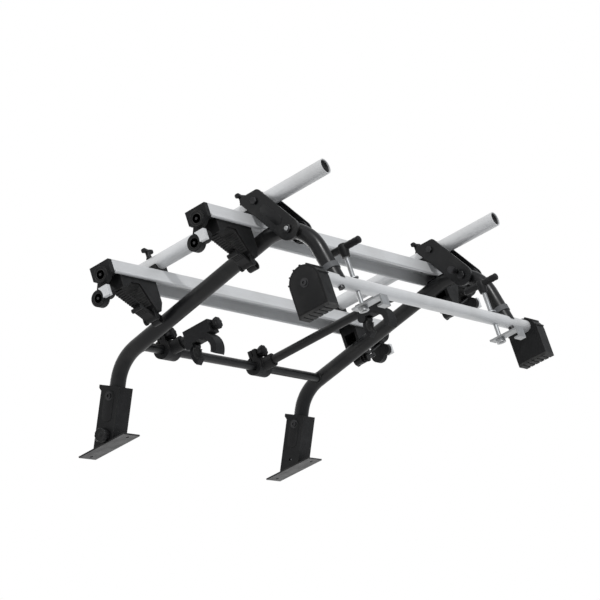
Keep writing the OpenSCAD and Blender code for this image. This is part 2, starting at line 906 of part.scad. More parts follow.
module near_left_strap() { wheel_strap(-1, tray_heights[0]); }
module near_right_strap() { wheel_strap(1, tray_heights[0]); }
module far_left_strap() { wheel_strap(-1, tray_heights[1]); }
module far_right_strap() { wheel_strap(1, tray_heights[1]); }

// Lever of the strap's ratchet buckle
module ratchet_lever(side, height) {
  color("#26272a")
    holder_slab(side, height, lever_width)
      translate(lever_pin)
        difference() {
          union() {
            circle(r = lever_hub_r);
            rotate(180 + strap_slope)
              translate([0, -lever_thick / 2])
                square([lever_length, lever_thick]);
            rotate(180 + strap_slope)
              translate([lever_length, -lever_thick / 2])
                circle(r = lever_thick);
          }
          circle(r = lever_pin_r + run_gap);
        }
}

module near_left_lever() { ratchet_lever(-1, tray_heights[0]); }
module near_right_lever() { ratchet_lever(1, tray_heights[0]); }
module far_left_lever() { ratchet_lever(-1, tray_heights[1]); }
module far_right_lever() { ratchet_lever(1, tray_heights[1]); }

// Arms hang from the upper cross tube when stowed
arm_axis = [top_tube_reach, top_tube_height];

module arm_clamp(x) {
  neck_end = top_tube_height - clamp_neck_length;
  socket_end = top_tube_height - top_tube_r - arm_wall;
  lug_from = top_tube_reach + clamp_r / 2;
  lug_to = top_tube_reach + clamp_lug;
  color("#1f2022")
    difference() {
      union() {
        cross_rod(x - clamp_width / 2, x + clamp_width / 2, arm_axis, clamp_r);
        translate([x, -top_tube_reach, neck_end]) cylinder(h = clamp_neck_length, r = clamp_neck_r);
        block(
          [x - clamp_lug_width / 2, lug_from, top_tube_height - clamp_lug_thick / 2],
          [x + clamp_lug_width / 2, lug_to, top_tube_height + clamp_lug_thick / 2]
        );
      }
      cross_rod(x - clamp_width, x + clamp_width, arm_axis, top_tube_r + run_gap);
      translate([x, -top_tube_reach, neck_end - arm_wall])
        cylinder(h = socket_end - neck_end + arm_wall, r = arm_r + seat_gap);
      block(
        [x - clamp_width, top_tube_reach, top_tube_height - clamp_slit / 2],
        [x + clamp_width, top_tube_reach + 2 * clamp_lug, top_tube_height + clamp_slit / 2]
      );
      translate([x, -(lug_to + lug_from) / 2 - clamp_screw_shift, top_tube_height - clamp_lug_thick])
        cylinder(h = 2 * clamp_lug_thick, r = clamp_screw_r + run_gap);
    }
}

// Knob with a screw that closes a clamp, its axis along Z with the knob below
module arm_knob(x) {
  place = (2 * top_tube_reach + clamp_r / 2 + clamp_lug) / 2 + clamp_screw_shift;
  face = top_tube_height - clamp_lug_thick / 2 - free_gap / 2;
  color("#17181a")
    translate([x, -place, face - hand_knob_length]) {
      cylinder(h = hand_knob_length, r1 = hand_knob_r, r2 = hand_knob_waist);
      cylinder(h = hand_knob_length + clamp_lug_thick, r = clamp_screw_r);
    }
}

module arm_tube(x, reach) {
  top = top_tube_height - top_tube_r - arm_wall - seat_gap;
  bottom = top_tube_height - reach + palm_length / 2 - palm_socket;
  color("#1b1c1e")
    difference() {
      translate([x, -top_tube_reach, bottom]) cylinder(h = top - bottom, r = arm_r);
      translate([x, -top_tube_reach, bottom]) cylinder(h = top - bottom, r = arm_r - arm_wall);
    }
}

// Places an outline given about a grip's centre, [away from the door, up], so that it spans a depth along X
module grip_slab(x, reach, depth) {
  slab(x, depth)
    translate([top_tube_reach - grip_offset, top_tube_height - reach])
      children();
}

// Part of a ring between two angles that are less than 180 degrees apart
module ring_part(outer, inner, first, last) {
  mid = (first + last) / 2;
  far = 2 * outer;
  intersection() {
    difference() {
      circle(r = outer);
      circle(r = inner);
    }
    polygon([
      [0, 0],
      far * [cos(first), sin(first)],
      far * [cos(mid), sin(mid)],
      far * [cos(last), sin(last)]
    ]);
  }
}

jaw_pin = [grip_inner_r - free_gap, jaw_pin_rise];

// Fixed half of a frame grip: palm, lower finger and the ears that hold the jaw
module frame_grip(x, reach) {
  palm_left = grip_offset - palm_width / 2;
  color("#2b2c2f")
    difference() {
      union() {
        grip_slab(x, reach, grip_depth) {
          ring_part(grip_outer_r, grip_inner_r, -grip_mouth_angle, 0);
          translate([palm_left, -palm_length / 2]) square([palm_width, palm_length]);
          translate(jaw_pin) circle(r = jaw_knuckle_r + free_gap);
          translate([grip_inner_r, 0]) square([grip_outer_r - grip_inner_r, jaw_pin[1]]);
        }
      }
      grip_slab(x, reach, grip_depth - 2 * grip_ear_thick)
        translate([0, jaw_slot_start])
          square([grip_offset - arm_r - seat_gap, palm_length]);
      translate([x, -top_tube_reach, top_tube_height - reach + palm_length / 2 - palm_socket - seat_gap])
        cylinder(h = 2 * palm_socket, r = arm_r + seat_gap);
      translate([x, -top_tube_reach, top_tube_height - reach - palm_length])
        cylinder(h = grip_screw_length + palm_length / 2, r = clamp_screw_r + run_gap);
    }
  color("#2b2c2f")
    grip_slab(x, reach, grip_depth - grip_ear_thick)
      translate(jaw_pin) circle(r = jaw_pin_r);
}

// Moving half of a frame grip
module grip_jaw(x, reach) {
  color("#1c1d1f")
    grip_slab(x, reach, grip_depth - 2 * grip_ear_thick - 2 * free_gap)
      difference() {
        union() {
          ring_part(grip_outer_r - free_gap, grip_inner_r, jaw_first_angle, grip_mouth_angle);
          translate(jaw_pin) circle(r = jaw_knuckle_r - free_gap);
        }
        translate(jaw_pin) circle(r = jaw_pin_r + run_gap);
      }
}

// Knob with a screw that enters the palm from below
module grip_knob(x, reach) {
  face = top_tube_height - reach - palm_length / 2 - free_gap / 2;
  color("#17181a")
    translate([x, -top_tube_reach, face - hand_knob_length]) {
      cylinder(h = hand_knob_length, r1 = hand_knob_r, r2 = hand_knob_waist);
      cylinder(h = hand_knob_length + grip_screw_length - free_gap, r = clamp_screw_r);
    }
}

module short_arm_clamp() { arm_clamp(-short_arm_place); }
module short_arm_tube() { arm_tube(-short_arm_place, short_arm_reach); }
module short_arm_knob() { arm_knob(-short_arm_place); }
module short_grip() { frame_grip(-short_arm_place, short_arm_reach); }
module short_grip_jaw() { grip_jaw(-short_arm_place, short_arm_reach); }
module short_grip_knob() { grip_knob(-short_arm_place, short_arm_reach); }
module long_arm_clamp() { arm_clamp(long_arm_place); }
module long_arm_tube() { arm_tube(long_arm_place, long_arm_reach); }
module long_arm_knob() { arm_knob(long_arm_place); }
module long_grip() { frame_grip(long_arm_place, long_arm_reach); }
module long_grip_jaw() { grip_jaw(long_arm_place, long_arm_reach); }
module long_grip_knob() { grip_knob(long_arm_place, long_arm_reach); }

left_hoop();
right_hoop();
upper_cross_tube();
lower_cross_tube();
upper_shoes();
upper_door_brackets();
left_shoe_knob();
right_shoe_knob();
lower_feet();
foot_pads();
leg_collars();
lock_plates();
pivot_bolts();
cross_tube_bolts();
left_tension_handle();
right_tension_handle();
left_lower_hook();
right_lower_hook();
left_bracket();
right_bracket();
left_rail();
right_rail();
rail_caps();
near_tray();
far_tray();
tray_end_caps();
tray_end_plugs();
tray_saddles();
platform_bolts();
near_left_knob();
near_right_knob();
far_left_knob();
far_right_knob();
left_lock_pin();
right_lock_pin();
near_left_holder();
near_right_holder();
far_left_holder();
far_right_holder();
near_left_strap();
near_right_strap();
far_left_strap();
far_right_strap();
near_left_lever();
near_right_lever();
far_left_lever();
far_right_lever();
short_arm_clamp();
short_arm_tube();
short_arm_knob();
short_grip();
short_grip_jaw();
short_grip_knob();
long_arm_clamp();
long_arm_tube();
long_arm_knob();
long_grip();
long_grip_jaw();
long_grip_knob();
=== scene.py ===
"""Looks of the rear bike rack: materials, small fittings, light and camera around the CAD part.

Metres, row frame: +Z up the closed tailgate, -Y outwards from the vehicle, +X to the right seen
from behind.
"""
import json
import math

import bmesh
import bpy
from mathutils import Matrix, Vector


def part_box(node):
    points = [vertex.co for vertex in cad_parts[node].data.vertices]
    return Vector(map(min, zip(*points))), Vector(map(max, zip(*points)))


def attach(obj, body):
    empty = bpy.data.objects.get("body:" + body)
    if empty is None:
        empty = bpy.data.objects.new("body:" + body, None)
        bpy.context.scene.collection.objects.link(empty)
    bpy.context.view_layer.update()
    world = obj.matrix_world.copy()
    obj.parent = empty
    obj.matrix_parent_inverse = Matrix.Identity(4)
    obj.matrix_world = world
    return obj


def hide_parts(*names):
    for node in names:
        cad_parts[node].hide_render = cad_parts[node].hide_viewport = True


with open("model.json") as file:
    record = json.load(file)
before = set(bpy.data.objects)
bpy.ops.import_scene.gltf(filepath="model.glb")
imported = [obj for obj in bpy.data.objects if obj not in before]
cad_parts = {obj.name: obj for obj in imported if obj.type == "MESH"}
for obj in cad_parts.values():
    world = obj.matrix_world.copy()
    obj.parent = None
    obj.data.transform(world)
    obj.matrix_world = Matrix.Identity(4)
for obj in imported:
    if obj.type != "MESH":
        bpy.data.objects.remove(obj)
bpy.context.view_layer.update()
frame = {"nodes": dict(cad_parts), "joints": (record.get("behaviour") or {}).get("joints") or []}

# Words that the nodes' names are made of
SIDES = ("left", "right")
TRAYS = ("near", "far")
ARMS = ("short", "long")
CORNERS = [f"{tray}_{side}" for tray in TRAYS for side in SIDES]

# Each side with the sign of the x direction that points away from the rack's middle
OUTWARDS = (("left", -1), ("right", 1))

# Edges that turn by more than this stay sharp
SHARP_EDGE = math.radians(35)

# Sizes of the fittings follow in metres. Those that belong to a CAD form repeat its size.

# Knobs of the arms, the shoes and the rails
HAND_KNOB_LENGTH = 0.022
HAND_KNOB_WAIST = 0.013
STUD_RADIUS = 0.004
SHOE_KNOB_THICK = 0.020
SHOE_STUD_RADIUS = 0.005
KNOB_HUB_RADIUS = 0.009
KNOB_WING_THICK = 0.013
WING_SIDES = 28
WING_SQUARENESS = 3.0

# T handles and their spindles, with the thread's crest and root as shares of the spindle's radius
BAR_RADIUS = 0.010
PALM_RINGS = 8
PALM_GROOVE = 0.93
HUB_RADIUS = 0.013
HUB_LENGTH = 0.026
SPINDLE_RADIUS = 0.006
WASHER_RADIUS = 0.014
WASHER_THICK = 0.003
THREAD_PITCH = 0.00175
THREAD_STEPS = 4
THREAD_CREST = 1.03
THREAD_ROOT = 0.86 * THREAD_CREST

# Weld beads on the upper cross tube, and how far the hoops lean there
WELD_RADIUS = 0.0028
WELD_LIFT = 0.3
WELD_STEPS = 144
WELD_SIDES = 10
WELD_RIPPLES = 26
WELD_RIPPLE_DEPTH = 0.16
HOOP_LEAN = math.radians(10.2)

# Caps in the rails
RAIL_WALL = 0.0025
CAP_ROOM = 0.0002
CAP_LENGTH = 0.020

# Pads of the frame grips, with their angles in degrees from outwards towards up
GRIP_OFFSET = 0.052
GRIP_OUTER = 0.045
GRIP_INNER = 0.029
GRIP_PAD_FROM = -122.0
GRIP_PAD_TO = -6.0
GRIP_PAD_TEETH = 15
JAW_PAD_FROM = 56.0
JAW_PAD_TO = 120.0
JAW_PAD_TEETH = 8
PAD_TOOTH_STEPS = 4
PAD_THICK = 0.003
PAD_SINK = 0.001
PAD_INSET = 0.002

# Rings and screws on the lobes at the tray ends
TRAY_LOBE_IN = 0.006
DOOR_LOBE_OUT = 0.048
DOOR_LOBE_RISE = 0.027
LOBE_RADIUS = 0.022
RING_RISE = 0.001
SCREW_RADIUS = 0.004

# Outline of the wheel holders, as distances in from the tray's end and rises off the tray
LIP_RUN = 0.014
LIP_RISE = 0.032
CRADLE_LOW = 0.014
CRADLE_START = 0.040
CRADLE_END = 0.076
RAMP_START = 0.116
RAMP_RISE = 0.084

# Rubber linings of the cradles, and the shares of the lip's and the ramp's slopes where they end
LINING_WIDTH = 0.042
LINING_THICK = 0.0014
LINING_TOOTH = 0.0026
LINING_PITCH = 0.006
LINING_LIP_SHARE = 0.3
LINING_RAMP_SHARE = 0.78

# Ribs in the side pockets of the wheel holders
POCKET_START = 0.100
POCKET_CORNER = (0.128, 0.060)
POCKET_FALL = 0.41
POCKET_DEPTH = 0.009
POCKET_RIBS = (0.113, 0.125, 0.137)
RIB_THICK = 0.0024

# Ridges of the buckle levers, at distances from the lever's pin. The lever lies along the strap.
STRAP_FROM = (0.007, 0.032)
LEVER_PIN = (0.120, 0.097)
LEVER_HALF_THICK = 0.003
LEVER_RIDGES = (0.030, 0.035, 0.040, 0.045, 0.050)
RIDGE_HALF_WIDTH = 0.0125
RIDGE_RISE = 0.0014
RIDGE_STEPS = 6

# Hoops: x of their middles, and both ends of the upper leg as (reach from the door, height)
HOOP_X = 0.430
DOOR_END = (0.0, 0.795)
TOP_CORNER = (0.200, 0.682)

# Raised panels on the shoes, the feet and the folding brackets
PANEL_RISE = 0.0014
PILL_STEPS = 40
SHOE_HALF = 0.029
SHOE_PANEL_FROM = 0.063
SHOE_PANEL_TO = 0.147
SHOE_PANEL_WIDTH = 0.032
FOOT_CENTRE = (0.080, 0.012)
FOOT_RADIUS = 0.046
FOOT_STEPS = 24
FOOT_PANEL_INSET = 0.006
BRACKET_PANEL_INSET = 0.027
BRACKET_PANEL_WIDTH = 0.026

# Bolts of the folding brackets: their heads, and the rail bolt's place from the fold's pivot
BRACKET_OUTER = 0.0325
BOLT_HEAD_THICK = 0.0069
PIVOT_HEAD_RADIUS = 0.0118
RAIL_HEAD_RADIUS = 0.0101
RAIL_OFFSET = 0.112
RAIL_BOLT_RISE = 0.0673
STUD_END_RISE = 0.0022

# Camera of the photograph. Its direction was worked out from the van and from how the rack's own
# directions run in the picture.
CAMERA_DISTANCE = 6.66
CAMERA_FROM_RACK = CAMERA_DISTANCE * Vector((-0.8212, 0.3358, -0.4614)).normalized()
CAMERA_TARGET = Vector((0.0, -0.28, 0.36))
PHOTO_UP = Vector((-0.1345, -0.8967, -0.4342))
PICTURE_WIDTH = 1.62
SENSOR_WIDTH = 36.0
NEAREST_SEEN = 0.1
FARTHEST_SEEN = 100.0

# Floor and sky
FLOOR_HEIGHT = -3.2
FLOOR_WIDTH = 600.0
FLOOR_COLOUR = (0.92, 0.92, 0.92, 1.0)
FLOOR_ROUGHNESS = 0.9
SKY_COLOUR = (0.93, 0.96, 1.0, 1.0)
SKY_STRENGTH = 0.55
WHITE = (1.0, 1.0, 1.0, 1.0)

# Colour of dust in patches, and of plastic edges, where it is partly scuffs and partly painted
# highlight
DUST_AND_EDGE_HIGHLIGHT = (0.12, 0.115, 0.105)

# Stretches of the noise that draw lines along an axis
ALONG_X = (0.02, 1.0, 1.0)
ALONG_Z = (1.0, 1.0, 0.02)

# Noise: its roughness, and the span that most of its values lie in
NOISE_ROUGHNESS = 0.6
NOISE_SPAN = (0.3, 0.7)

# From none to all
FULL_SPAN = (0.0, 1.0)

# How much rougher a moulded plastic is in its dull patches
DULL_PATCHES = 0.16

# Samples of the shader that rounds edges
BEVEL_SAMPLES = 4


class Surface:
    """A node material with one Principled shader, built up by small steps."""

    def __init__(self, name, metallic=0.0, specular=0.5):
        self.material = bpy.data.materials.new(name)
        self.material.use_nodes = True
        self.tree = self.material.node_tree
        self.tree.nodes.clear()
        output = self.node("ShaderNodeOutputMaterial")
        self.shader = self.node("ShaderNodeBsdfPrincipled")
        self.shader.inputs["Metallic"].default_value = metallic
        self.shader.inputs["Specular IOR Level"].default_value = specular
        self.link(self.shader.outputs["BSDF"], output.inputs["Surface"])
        self.place = self.node("ShaderNodeTexCoord")

    def node(self, kind):
        """Adds a node of a kind."""
        return self.tree.nodes.new(kind)

    def link(self, source, target):
        """Joins an output to an input."""
        self.tree.links.new(source, target)

    def stretched(self, stretch):
        """Object coordinates scaled by a factor along each axis."""
        mapping = self.node("ShaderNodeMapping")
        mapping.inputs["Scale"].default_value = stretch
        self.link(self.place.outputs["Object"], mapping.inputs["Vector"])
        return mapping.outputs["Vector"]

    def noise(self, scale, detail=4.0, stretch=(1.0, 1.0, 1.0)):
        """Grey noise with features of about 1 / scale metres."""
        noise = self.node("ShaderNodeTexNoise")
        noise.inputs["Scale"].default_value = scale
        noise.inputs["Detail"].default_value = detail
        noise.inputs["Roughness"].default_value = NOISE_ROUGHNESS
        self.link(self.stretched(stretch), noise.inputs["Vector"])
        return noise.outputs["Fac"]

    def mapped(self, source, span, target):
        """Maps a span of a value to a target span, clamped."""
        node = self.node("ShaderNodeMapRange")
        node.inputs["From Min"].default_value = span[0]
        node.inputs["From Max"].default_value = span[1]
        node.inputs["To Min"].default_value = target[0]
        node.inputs["To Max"].default_value = target[1]
        self.link(source, node.inputs["Value"])
        return node.outputs["Result"]

    def product(self, first, second):
        """One value times another."""
        node = self.node("ShaderNodeMath")
        node.operation = "MULTIPLY"
        self.link(first, node.inputs[0])
        self.link(second, node.inputs[1])
        return node.outputs["Value"]

    def mix(self, share, first, second):
        """Colour between first and second; each is a colour or another node's output."""
        node = self.node("ShaderNodeMix")
        node.data_type = "RGBA"
        self.link(share, node.inputs["Factor"])
        for name, value in (("A", first), ("B", second)):
            sockets = [socket for socket in node.inputs if socket.name == name]
            socket = [socket for socket in sockets if socket.type == "RGBA"][0]
            if isinstance(value, tuple):
                socket.default_value = (*value, 1.0)
            else:
                self.link(value, socket)
        return [socket for socket in node.outputs if socket.type == "RGBA"][0]

    def colour(self, source):
        """Takes an output as the surface's colour."""
        self.link(source, self.shader.inputs["Base Color"])

    def roughness(self, source):
        """Takes an output as the surface's roughness."""
        self.link(source, self.shader.inputs["Roughness"])

    def rounded_normal(self, radius):
        """Normal of the surface with its edges rounded to a radius."""
        bevel = self.node("ShaderNodeBevel")
        bevel.samples = BEVEL_SAMPLES
        bevel.inputs["Radius"].default_value = radius
        return bevel.outputs["Normal"]

    def edge(self, radius):
        """1 where a sharp edge lies within the radius, 0 away from edges."""
        geometry = self.node("ShaderNodeNewGeometry")
        dot = self.node("ShaderNodeVectorMath")
        dot.operation = "DOT_PRODUCT"
        self.link(self.rounded_normal(radius), dot.inputs[0])
        self.link(geometry.outputs["True Normal"], dot.inputs[1])
        return self.mapped(dot.outputs["Value"], (0.99, 0.80), FULL_SPAN)

    def relief(self, edge_radius, layers):
        """Bumps of given heights in metres over softly rounded edges."""
        normal = self.rounded_normal(edge_radius)
        for source, height in layers:
            bump = self.node("ShaderNodeBump")
            bump.inputs["Strength"].default_value = 1.0
            bump.inputs["Distance"].default_value = height
            self.link(source, bump.inputs["Height"])
            self.link(normal, bump.inputs["Normal"])
            normal = bump.outputs["Normal"]
        self.link(normal, self.shader.inputs["Normal"])


def painted_steel(name, dark, worn_and_highlit):
    """Black powder coat: fine orange peel, dusty patches, edges lighter as wear and painted
    highlight.
    """
    paint = Surface(name, specular=0.28)
    patches = paint.noise(9.0, detail=6.0)
    dusty = paint.mapped(patches, (0.52, 0.8), (0.0, 0.16))
    coat = paint.mix(dusty, dark, DUST_AND_EDGE_HIGHLIGHT)
    # Lighter edges: partly wear, partly a painted highlight along the edges
    wear_and_highlight_noise = paint.mapped(paint.noise(70.0), (0.45, 0.72), (0.0, 0.6))
    wear_and_highlight_edges = paint.product(paint.edge(0.0012), wear_and_highlight_noise)
    paint.colour(paint.mix(wear_and_highlight_edges, coat, worn_and_highlit))
    paint.roughness(paint.mapped(paint.noise(28.0, detail=5.0), NOISE_SPAN, (0.26, 0.46)))
    peel = paint.noise(420.0, detail=2.0)
    waves = paint.noise(55.0)
    paint.relief(0.0012, [(peel, 0.00012), (waves, 0.0002)])
    return paint.material


def moulded_plastic(name, dark, faded, roughness, grain=0.00022):
    """Moulded plastic: leathery grain, large sun faded patches, scuffs and painted highlight on
    edges.
    """
    plastic = Surface(name, specular=0.2)
    patches = plastic.noise(14.0, detail=5.0)
    body = plastic.mix(plastic.mapped(patches, (0.35, 0.75), FULL_SPAN), dark, faded)
    # Lighter edges: partly scuffs, partly a painted highlight along the edges
    scuff_and_highlight_noise = plastic.mapped(plastic.noise(90.0), (0.42, 0.72), (0.0, 0.7))
    scuff_and_highlight_edges = plastic.product(plastic.edge(0.0018), scuff_and_highlight_noise)
    plastic.colour(plastic.mix(scuff_and_highlight_edges, body, DUST_AND_EDGE_HIGHLIGHT))
    dullness = (roughness, roughness + DULL_PATCHES)
    plastic.roughness(plastic.mapped(plastic.noise(45.0), NOISE_SPAN, dullness))
    leather = plastic.noise(650.0, detail=3.0)
    waves = plastic.noise(120.0)
    plastic.relief(0.0016, [(leather, grain), (waves, grain / 2)])
    return plastic.material


def darker(colour, share):
    """A share of a colour."""
    return tuple(share * part for part in colour)


def anodised(name, stretch, bright, dull):
    """Satin anodised aluminium with faint lines along its length and a light road film."""
    metal = Surface(name, metallic=0.4)
    lines = metal.noise(420.0, detail=3.0, stretch=stretch)
    film = metal.mapped(metal.noise(6.0, detail=6.0), (0.42, 0.78), (0.0, 0.8))
    scores = metal.noise(260.0, detail=1.0, stretch=stretch)
    scratches = metal.mapped(scores, (0.70, 0.76), (0.0, 0.35))
    drawn = metal.mix(metal.mapped(lines, NOISE_SPAN, FULL_SPAN), bright, darker(bright, 0.93))
    base = metal.mix(film, drawn, dull)
    metal.colour(metal.mix(scratches, base, darker(bright, 0.86)))
    metal.roughness(metal.mapped(lines, NOISE_SPAN, (0.40, 0.52)))
    metal.relief(0.0008, [(lines, 0.000006), (metal.noise(24.0), 0.00004)])
    return metal.material


def zinc_plate(name, bright, bloomed):
    """Zinc plating with dull bloom."""
    metal = Surface(name, metallic=1.0)
    bloom = metal.mapped(metal.noise(45.0, detail=5.0), (0.4, 0.75), FULL_SPAN)
    metal.colour(metal.mix(bloom, bright, bloomed))
    metal.roughness(metal.mapped(metal.noise(200.0), NOISE_SPAN, (0.34, 0.55)))
    metal.relief(0.0006, [(metal.noise(500.0), 0.00004)])
    return metal.material


def rubber(name):
    """Matte rubber with a chalky bloom."""
    soft = Surface(name)
    bloom = soft.mapped(soft.noise(60.0, detail=5.0), (0.4, 0.75), FULL_SPAN)
    soft.colour(soft.mix(bloom, (0.012, 0.012, 0.012), (0.04, 0.039, 0.037)))
    soft.roughness(soft.mapped(soft.noise(90.0), NOISE_SPAN, (0.72, 0.9)))
    soft.relief(0.0012, [(soft.noise(500.0, detail=3.0), 0.0002)])
    return soft.material


def named(names, ending):
    """Node names made of each name and one ending."""
    return [f"{name}_{ending}" for name in names]


# Each finish with the CAD nodes that take it
FINISHES = [
    (
        # Lighter edge colour: partly wear, partly a painted highlight along the edges
        painted_steel("black_powder_coat", (0.0042, 0.0044, 0.0049), (0.12, 0.12, 0.12)),
        named(SIDES, "hoop") + named(SIDES, "bracket") + named(ARMS, "arm_tube")
        + ["upper_cross_tube", "lock_plates", "upper_door_brackets"],
    ),
    (
        anodised("rail_aluminium", ALONG_Z, (0.67, 0.675, 0.68), (0.52, 0.52, 0.515)),
        named(SIDES, "rail"),
    ),
    (
        anodised("tray_aluminium", ALONG_X, (0.65, 0.655, 0.66), (0.50, 0.50, 0.495)),
        named(TRAYS, "tray") + ["lower_cross_tube", "tray_end_plugs"],
    ),
    (
        moulded_plastic(
            "black_nylon", (0.0045, 0.0047, 0.005), (0.010, 0.010, 0.0105), roughness=0.46,
        ),
        named(CORNERS, "holder") + named(ARMS, "arm_clamp")
        + ["upper_shoes", "lower_feet", "tray_saddles", "tray_end_caps", "rail_caps"],
    ),
    (
        moulded_plastic(
            "grip_nylon", (0.010, 0.0103, 0.011), (0.018, 0.018, 0.019), roughness=0.5,
        ),
        named(ARMS, "grip") + named(ARMS, "grip_jaw"),
    ),
    (
        moulded_plastic(
            "knob_nylon", (0.006, 0.0062, 0.0068), (0.012, 0.012, 0.0125),
            roughness=0.38, grain=0.0001,
        ),
        named(CORNERS, "knob") + named(ARMS, "arm_knob") + named(ARMS, "grip_knob")
        + named(SIDES, "shoe_knob") + named(SIDES, "tension_handle"),
    ),
    (
        moulded_plastic(
            "strap_nylon", (0.005, 0.005, 0.0055), (0.010, 0.010, 0.0105),
            roughness=0.32, grain=0.00008,
        ),
        named(CORNERS, "strap") + named(CORNERS, "lever"),
    ),
    (
        moulded_plastic(
            "grey_plastic", (0.07, 0.072, 0.076), (0.11, 0.112, 0.115), roughness=0.5,
        ),
        ["leg_collars"],
    ),
    (rubber("foot_rubber"), ["foot_pads"]),
    (
        zinc_plate("zinc_plate", (0.40, 0.41, 0.42), (0.30, 0.30, 0.295)),
        named(SIDES, "lower_hook"),
    ),
    (
        zinc_plate("black_zinc", (0.050, 0.050, 0.052), (0.028, 0.028, 0.028)),
        named(SIDES, "lock_pin") + ["pivot_bolts", "cross_tube_bolts", "platform_bolts"],
    ),
]


def finish(name):
    """Material of a finish by its name."""
    return [material for material, nodes in FINISHES if material.name == name][0]


def paint_nodes():
    """Puts each finish on its CAD nodes."""
    for material, nodes in FINISHES:
        for node in nodes:
            mesh = frame["nodes"][node].data
            mesh.materials.clear()
            mesh.materials.append(material)


def turned_form(profile, sides=48, ripple=None):
    """Points and faces of a form turned about Z, from (height, radius) pairs.

    A ripple(angle, height) scales its radius.
    """
    points = []
    for height, radius in profile:
        for step in range(sides):
            angle = 2 * math.pi * step / sides
            reach = radius * (ripple(angle, height) if ripple else 1.0)
            points.append(Vector((reach * math.cos(angle), reach * math.sin(angle), height)))
    return points, ring_faces(len(profile), sides)


def ring_faces(rings, sides):
    """Faces between successive rings of points, with both ends closed."""
    faces = []
    for ring in range(rings - 1):
        for step in range(sides):
            here = ring * sides + step
            beside = ring * sides + (step + 1) % sides
            faces.append((here, beside, beside + sides, here + sides))
    faces.append(tuple(reversed(range(sides))))
    faces.append(tuple(range((rings - 1) * sides, rings * sides)))
    return faces


def rounded_ring(width, height):
    """Points of a rounded rectangle about the origin, as (across, up)."""
    power = 2 / WING_SQUARENESS
    ring = []
    for step in range(WING_SIDES):
        angle = 2 * math.pi * step / WING_SIDES
        across = math.cos(angle)
        up = math.sin(angle)
        ring.append((
            width / 2 * math.copysign(abs(across) ** power, across),
            height / 2 * math.copysign(abs(up) ** power, up),
        ))
    return ring


def hexagon(angle, height):
    """Ripple of a hexagon: its radius at an angle, as a share of its corner radius."""
    sector = math.radians(60)
    return math.cos(sector / 2) / math.cos(angle % sector - sector / 2)


def flutes(count, depth):
    """Ripple of a number of rounded finger grooves, each as deep as a share of the radius."""
    return lambda angle, height: 1.0 - depth * (0.5 + 0.5 * math.cos(count * angle)) ** 2


class Piece:
    """A fitting made of mesh forms in the row frame, which rides on one CAD body."""

    def __init__(self, name, material, body, slot):
        self.name = name
        self.material = material
        self.body = body
        self.slot = slot
        self.points = []
        self.faces = []

    def add(self, points, faces):
        """Adds a form by its points and faces."""
        first = len(self.points)
        self.points += points
        self.faces += [tuple(first + index for index in face) for face in faces]

    def turned(self, place, axis, profile, sides=48, ripple=None):
        """Adds a form turned about an axis through a place."""
        turn = Vector(axis).to_track_quat("Z", "Y").to_matrix()
        points, faces = turned_form(profile, sides, ripple)
        self.add([Vector(place) + turn @ point for point in points], faces)

    def lofted(self, rings):
        """Adds a form through rings of points that all have the same count."""
        points = [Vector(point) for ring in rings for point in ring]
        self.add(points, ring_faces(len(rings), len(rings[0])))

    def done(self, replaces=()):
        """Makes the mesh, puts it on its body and hides the CAD nodes that it replaces."""
        mesh = bpy.data.meshes.new(self.name)
        mesh.from_pydata(self.points, [], self.faces)
        form = bmesh.new()
        form.from_mesh(mesh)
        bmesh.ops.recalc_face_normals(form, faces=form.faces)
        for face in form.faces:
            face.smooth = True
        for edge in form.edges:
            edge.smooth = len(edge.link_faces) == 2 and edge.calc_face_angle() < SHARP_EDGE
        form.to_mesh(mesh)
        form.free()
        mesh.materials.append(self.material)
        piece = bpy.data.objects.new(self.name, mesh)
        bpy.context.scene.collection.objects.link(piece)
        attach(piece, self.body)
        if replaces:
            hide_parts(*replaces)


def middle(node):
    """Centre of a CAD node's box."""
    low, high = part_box(node)
    return (low + high) / 2


def hand_knob_profile(length, grip_radius, waist_radius):
    """Profile of a fluted hand knob from its domed end to its waist."""
    return [
        (0.0, 0.55 * grip_radius), (0.02 * length, 0.72 * grip_radius),
        (0.07 * length, 0.90 * grip_radius), (0.16 * length, grip_radius),
        (0.45 * length, 0.97 * grip_radius), (0.72 * length, 0.85 * grip_radius),
        (0.86 * length, waist_radius), (length, 0.94 * waist_radius),
    ]


def add_hand_knobs(plastic, zinc):
    """Fluted knobs with studs below each arm clamp and each frame grip."""
    for arm in ARMS:
        for kind in ("arm", "grip"):
            node = f"{arm}_{kind}_knob"
            low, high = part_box(node)
            foot = Vector((middle(node).x, middle(node).y, low.z))
            body = f"{arm} {kind} knob"
            grip = Piece(f"{node}_grip", plastic, body, "knob_plastic")
            profile = hand_knob_profile(HAND_KNOB_LENGTH, (high.x - low.x) / 2, HAND_KNOB_WAIST)
            grip.turned(foot, (0, 0, 1), profile, sides=72, ripple=flutes(count=8, depth=0.13))
            grip.done(replaces=[node])
            stud = Piece(f"{node}_stud", zinc, body, "zinc_steel")
            shaft = [(HAND_KNOB_LENGTH / 2, STUD_RADIUS), (high.z - low.z, STUD_RADIUS)]
            stud.turned(foot, (0, 0, 1), shaft, sides=24)
            stud.done()


